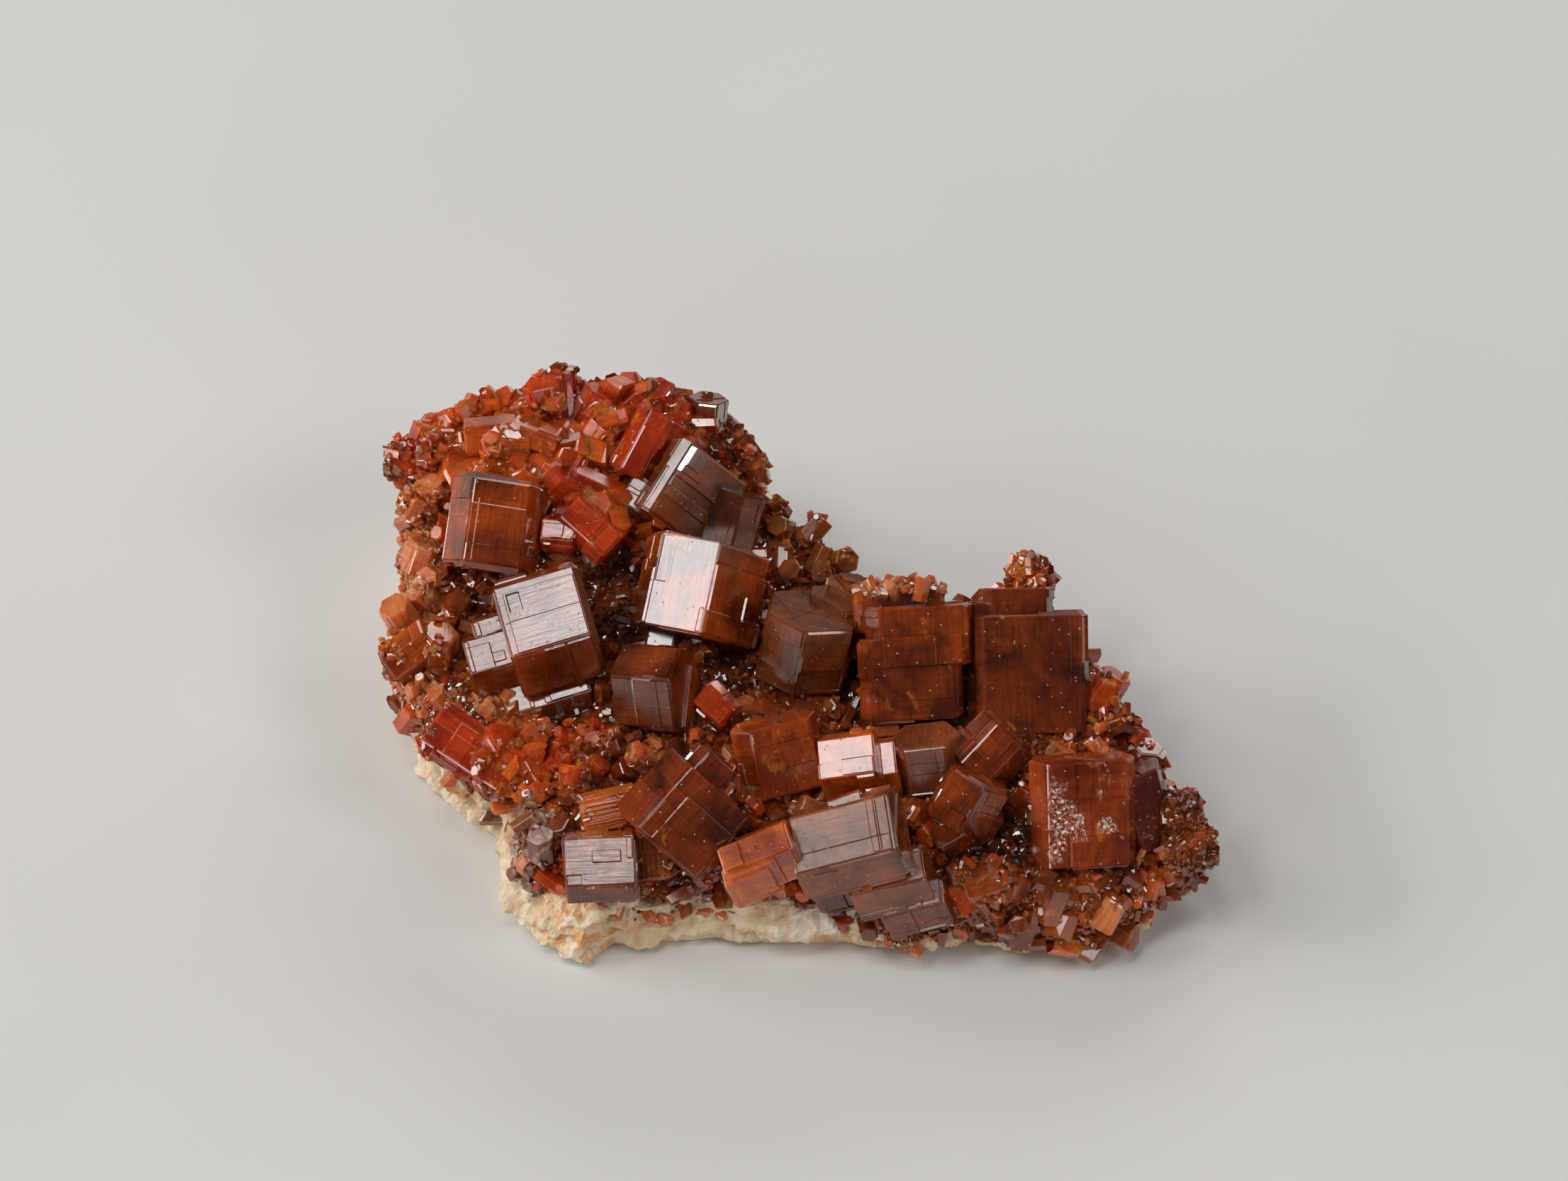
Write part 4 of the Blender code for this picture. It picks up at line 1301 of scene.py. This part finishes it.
# What the small crystals look like in parts of the crust, by where they are seen: (across, up), reach,
# then the finish and the size of the crystals there. The first that fits counts.
ZONES = [
    # SHADED_ONES paints shade into the hollows between the large crystals, which are also sunk into the
    # crust
    ((-12.1, -1.0), (2.6, 3.6), SHADED_ONES, 0.6),
    ((-3.9, -6.2), (2.3, 2.4), SHADED_ONES, 0.7),
    ((4.8, -6.5), (0.9, 2.8), SHADED_ONES, 0.7),
    ((12.8, -6.7), (0.9, 2.4), SHADED_ONES, 0.7),
    ((10.0, -9.3), (2.6, 1.0), SHADED_ONES, 0.7),
    ((15.5, -17.6), (3.6, 1.6), SHADED_ONES, 0.7),
    ((-6.6, -12.6), (1.4, 1.4), SHADED_ONES, 0.7),
    ((-16.0, -8.0), (3.0, 1.4), SHADED_ONES, 0.7),
    ((-26.0, -3.2), (1.1, 1.0), SHADED_ONES, 0.6),
    ((8.5, 0.7), (3.2, 1.1), ORANGE_ONES, 0.7),
    ((1.0, 5.0), (3.0, 6.0), GOLD_ONES, 0.6),
    ((4.5, 1.5), (2.5, 3.0), GOLD_ONES, 0.6),
    ((-12.3, -15.8), (2.6, 2.4), GOLD_ONES, 0.7),
    ((-8.8, -19.2), (1.6, 1.6), GOLD_ONES, 0.7),
    ((29.0, -18.0), (2.6, 4.2), BROWN_ONES, 0.8),
    ((-26.0, 3.5), (1.9, 5.0), ORANGE_ONES, 0.7),
    ((-26.5, -4.5), (2.4, 3.4), ORANGE_ONES, 0.8),
    ((-22.5, -7.8), (3.0, 2.4), ORANGE_ONES, 0.7),
    ((-24.5, 10.0), (2.8, 3.2), RED_ONES, 1.1),
    ((-15.5, 9.5), (9.0, 5.5), RED_ONES, 1.8),
    ((-18.5, -11.5), (3.6, 3.0), RED_ONES, 1.1),
    ((17.5, -22.0), (9.0, 3.6), BROWN_ONES, 1.1),
    ((-18.3, -17.6), (2.2, 4.4), SILVER_ONES, 0.9),
]
HOLLOWS = [(spot, reach) for spot, reach, finish, _ in ZONES if finish == SHADED_ONES]


def seen(p):
    """Where a point is seen in the view, in millimetres from its middle."""
    q = Vector(p) - VIEW_CENTRE
    scale = VIEW_DISTANCE / (VIEW_DISTANCE - q.dot(TOWARDS))
    return q.dot(RIGHT) * scale, q.dot(UP) * scale


def apart(p, spot, reach):
    """How far a point is seen from a spot, in shares of the spot's reach."""
    across, up = seen(p)
    return math.hypot((across - spot[0]) / reach[0], (up - spot[1]) / reach[1])


def zone(p):
    """The finish and size of the small crystals at a place."""
    swing = noise.noise(p / 2.2)
    for spot, reach, finish, size in ZONES:
        if apart(p, spot, reach) < 1.0 + 0.5 * swing:
            return finish, size
    if swing > 0.25:
        return ORANGE_ONES, 0.9
    return (BROWN_ONES, 0.9) if swing > -0.3 else (RED_ONES, 1.0)


# The crust


def top_of_crust(drop):
    """The height of a ring on the crust's upper face."""
    return lambda x, y: crust_top(x, y) - drop


def hem(x, y):
    """The height of the crust's lower edge, which comes down to FRONT_HEM at the front right."""
    front = min(1.0, max(0.0, (-8.0 - y) / 6.0)) * min(1.0, max(0.0, x / 6.0))
    skirt = crust_top(x, y) - SKIRT - 1.2 * noise.noise(Vector((x, y, 9.0)) / ROCK_LUMP)
    return skirt + (FRONT_HEM - skirt) * front


crust = ring_solid(
    "druse_skin",
    CRUST_OUTLINE,
    [
        (0.35, top_of_crust(0.0), 0.0, 0.0),
        (0.6, top_of_crust(0.0), 0.0, 0.0),
        (0.8, top_of_crust(0.1), 0.0, 0.0),
        (0.94, top_of_crust(0.5), 0.0, 0.4),
        (1.0, top_of_crust(2.2), 0.0, 0.8),
        (0.985, hem, 0.0, 0.6),
    ],
)
fine_mesh(crust, CRUST_VOXEL)


def crust_relief(p, n):
    """How far out the skin between the crystals is at a place: uneven, and deep in the hollows."""
    deep = 0.0
    if n.z > 0.3:
        for spot, reach in HOLLOWS:
            deep = max(deep, min(1.0, 1.6 * (1.3 - apart(p, spot, reach))))
    return -0.15 - 0.9 * deep + 0.4 * fbm(p, 1.6, 3, 2.0) + 0.12 * fbm(p, 0.55, 3, 9.0)


displace(crust, crust_relief)
crust.data.materials.append(DRUSE[BROWN_ONES])
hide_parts("crust")
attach(crust, "root")

BIG = [(shape, reach_of(shape)) for shape in LARGE]


def bare(p, d):
    """Whether a small crystal may grow there: on the outside, and not inside a large one."""
    if d.z < -0.25 or p.z < LOWEST:
        return False
    return not any((p - s[0]).length < r and inside(s, p, 0.15) for s, r in BIG)


# The crystals that smaller ones have grown on, and those that are covered nearly all over
OVERGROWN = (
    "peak_cluster", "back_pair", "orange_ridge", "left_corner_pair", "left_edge_pair",
    "red_slab", "tip_pair", "red_tip", "striated_block",
)  # fmt: skip
COVERED = ("fine_red_tip", "fine_tip_pair", "fine_left_corner_pair")
RIDGE_HOST = "fine_banded_block"


def bare_host(p, d):
    """Whether a small crystal may grow on a larger one there: mostly low down and in patches."""
    high = (p.z - crust_top(p.x, p.y)) / 1.6
    if apart(p, (8.6, 0.5), (2.4, 1.4)) < 1.0:  # beside the ridge they stand closer
        high = -1.6
    return d.z > -0.5 and noise.noise(p / 1.3) > 0.05 + 0.25 * high and p.z > LOWEST


def covered_host(p, d):
    """The same for a crystal that is covered nearly all over."""
    return d.z > -0.5 and noise.noise(p / 1.1) > -0.28 and p.z > LOWEST


def ridge_host(p, d):
    """The same for the row of small crystals along the far end of the banded crystal."""
    return apart(p, (8.3, 0.2), (2.9, 1.1)) < 1.0 and (d.y > 0.2 or d.z > 0.8)


def surface(host):
    """Area of an object's faces in square millimetres."""
    return sum(face.area for face in host.data.polygons) / METRES**2


def kept_in_box(centre, axis, size, tall):
    """A small crystal's centre, moved so that its tip stays inside the box of the solids."""
    low, high = (Vector(corner) / METRES - SHIFT for corner in CAD_BOX)
    moved = centre.copy()
    for k in range(2):
        reach = abs(axis[k]) * tall / 2 + 0.5 * size * math.sqrt(max(0.0, 1.0 - axis[k] ** 2))
        moved[k] = min(max(centre[k], low[k] + reach), high[k] - reach)
    return moved


def grown(places, seed, sizes, sink, lean):
    """Entries for tiny_prisms. sink is the share that is buried, and lean how askew they stand."""
    rng = random.Random(seed)
    entries = []
    for p, d in places:
        slot, factor = zone(p)
        size = (sizes[0] + (sizes[1] - sizes[0]) * rng.random() ** 2) * factor
        away = Vector([rng.gauss(0, 1) for _ in range(3)]).normalized()
        axis = (d + away * lean).normalized()
        if axis.dot(d) < -0.2:
            axis = -axis
        tall = size * rng.uniform(1.8, 3.2)
        centre = p + d * (tall * (0.5 - sink) * max(0.35, axis.dot(d)))
        if rng.random() < 0.12:
            slot = rng.choice((BROWN_ONES, RED_ONES, ORANGE_ONES))
        centre = kept_in_box(centre, axis, size, tall)
        entries.append((centre, axis, rng.uniform(0, math.pi / 3), size, tall, slot))
    return entries


solid = bpy.data.objects["crust"]
SOLID_CRUST = BVHTree.FromPolygons(
    [solid.matrix_world @ vertex.co for vertex in solid.data.vertices],
    [tuple(face.vertices) for face in solid.data.polygons],
)


def held(shape):
    """Whether a crystal's middle is in the solid crust, or within HELD_WITHIN of it."""
    middle = row(shape[0])
    near_by, out, _, away = SOLID_CRUST.find_nearest(middle)
    return away < HELD_WITHIN * METRES or (middle - near_by).dot(out) < 0


sheet = Sheet()
rng = random.Random(55)
for k, shape in enumerate(KNOBS + SMALL):
    if held(shape):
        plates = own_plates("knob", k, shape, rng)
        crystal(sheet, shape, zone(shape[0])[0], rng, plates, bevel=0.06, busy=0.6)
medium = sheet.make("druse_standing", DRUSE)
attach(medium, "root")


def carpet(name, count, seeds, sizes, sink, lean):
    """Small crystals all over the crust."""
    places = scatter(crust, count, seeds[0], bare)
    return tiny_prisms(name, grown(places, seeds[1], sizes, sink, lean), DRUSE)


coarse = carpet("druse_coarse", COARSE, (21, 31), (0.35, 0.95), 0.3, 2.5)
middling = carpet("druse_middling", MIDDLING, (23, 33), (0.2, 0.5), 0.35, 1.6)
fine = carpet("druse_fine", FINE, (22, 32), (0.1, 0.26), 0.4, 1.2)

HOSTS = [medium] + [bpy.data.objects["fine_" + name] for name in OVERGROWN]
WEIGHTS = [surface(host) * (COVER if host.name in COVERED else 1.0) for host in HOSTS]
grown_on = []
for index, (host, weight) in enumerate(zip(HOSTS, WEIGHTS)):
    keep = covered_host if host.name in COVERED else bare_host
    places = scatter(host, round(OVERGROWTH * weight / sum(WEIGHTS)), 60 + index, keep)
    grown_on += grown(places, 70 + index, (0.12, 0.42), 0.3, 1.5)
places = scatter(bpy.data.objects[RIDGE_HOST], RIDGE, 91, ridge_host)
grown_on += grown(places, 92, (0.2, 0.85), 0.4, 2.4)
overgrowth = tiny_prisms("druse_overgrowth", grown_on, DRUSE)
for piece in (coarse, middling, fine, overgrowth):
    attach(piece, "root")


# Stage

bpy.ops.mesh.primitive_plane_add(size=8.0)
floor = bpy.context.object
floor.name = "floor"
floor.data.materials.append(floor_material())

scene = bpy.context.scene
world = bpy.data.worlds.new("studio")
world.use_nodes = True
background = world.node_tree.nodes["Background"]
background.inputs["Color"].default_value = (0.9, 0.93, 1.0, 1)
background.inputs["Strength"].default_value = 0.05
scene.world = world

CENTRE = row(VIEW_CENTRE)


def mirror_of(name, which=0, side=0):
    """Where light comes from that a side face sends to the camera. side 0 is the middle face."""
    axes = SHAPES[name][which][1]
    angle = math.radians(60 * side)
    n = axes @ Vector((math.sin(angle), 0, math.cos(angle)))
    return (2 * n.dot(TOWARDS) * n - TOWARDS).normalized()


def softbox(name, direction, far, wide, high, radiance, colour=(1, 1, 1)):
    """A soft panel that faces the specimen. radiance is how bright it looks in a mirror."""
    data = bpy.data.lights.new(name, "AREA")
    data.shape = "RECTANGLE"
    data.size, data.size_y = wide, high
    data.energy = radiance * math.pi * wide * high
    data.color = colour
    obj = bpy.data.objects.new(name, data)
    obj.location = CENTRE + Vector(direction).normalized() * far
    obj.rotation_mode = "QUATERNION"
    obj.rotation_quaternion = (obj.location - CENTRE).to_track_quat("Z", "Y")
    scene.collection.objects.link(obj)


overhead = (mirror_of("left_block") + mirror_of("broken_block")).normalized()
upper_left = (mirror_of("upper_block") + mirror_of("white_face_block")).normalized()
softbox("overhead", overhead, 1.2, 0.27, 0.25, 10.0)
softbox("upper_left", upper_left, 1.2, 0.22, 0.22, 7.0)
softbox("left", mirror_of("centre_block"), 1.2, 0.22, 0.22, 9.0)
softbox("side_sheen", (-0.64, -0.02, 0.765), 1.2, 0.23, 0.20, 6.5, (1.0, 0.95, 0.88))
softbox("key", (-0.88, 0.1, 0.42), 1.3, 0.9, 0.5, 7.2, (1.0, 0.98, 0.95))
softbox("back", (0.25, 0.85, 0.45), 1.5, 1.2, 0.5, 4.0, (1.0, 0.97, 0.93))
softbox("front_right", (0.64, -0.33, 0.68), 1.4, 0.5, 0.5, 5.0, (1.0, 0.98, 0.95))
softbox("front_left", (-0.66, -0.74, 0.18), 1.5, 0.6, 0.35, 4.5, (1.0, 0.98, 0.95))
softbox("low_front", (0.26, -0.96, 0.14), 1.5, 0.5, 0.25, 5.0, (1.0, 0.97, 0.92))

camera = bpy.data.objects.new("camera", bpy.data.cameras.new("camera"))
scene.collection.objects.link(camera)
camera.data.sensor_width = SENSOR
camera.data.lens = SENSOR * VIEW_DISTANCE / VIEW_WIDTH
camera.location = CENTRE + TOWARDS * (VIEW_DISTANCE * METRES)
camera.rotation_mode = "QUATERNION"
camera.rotation_quaternion = TOWARDS.to_track_quat("Z", "Y")
camera.data.clip_start, camera.data.clip_end = 0.01, 20.0
scene.camera = camera
scene.view_settings.view_transform = "Standard"
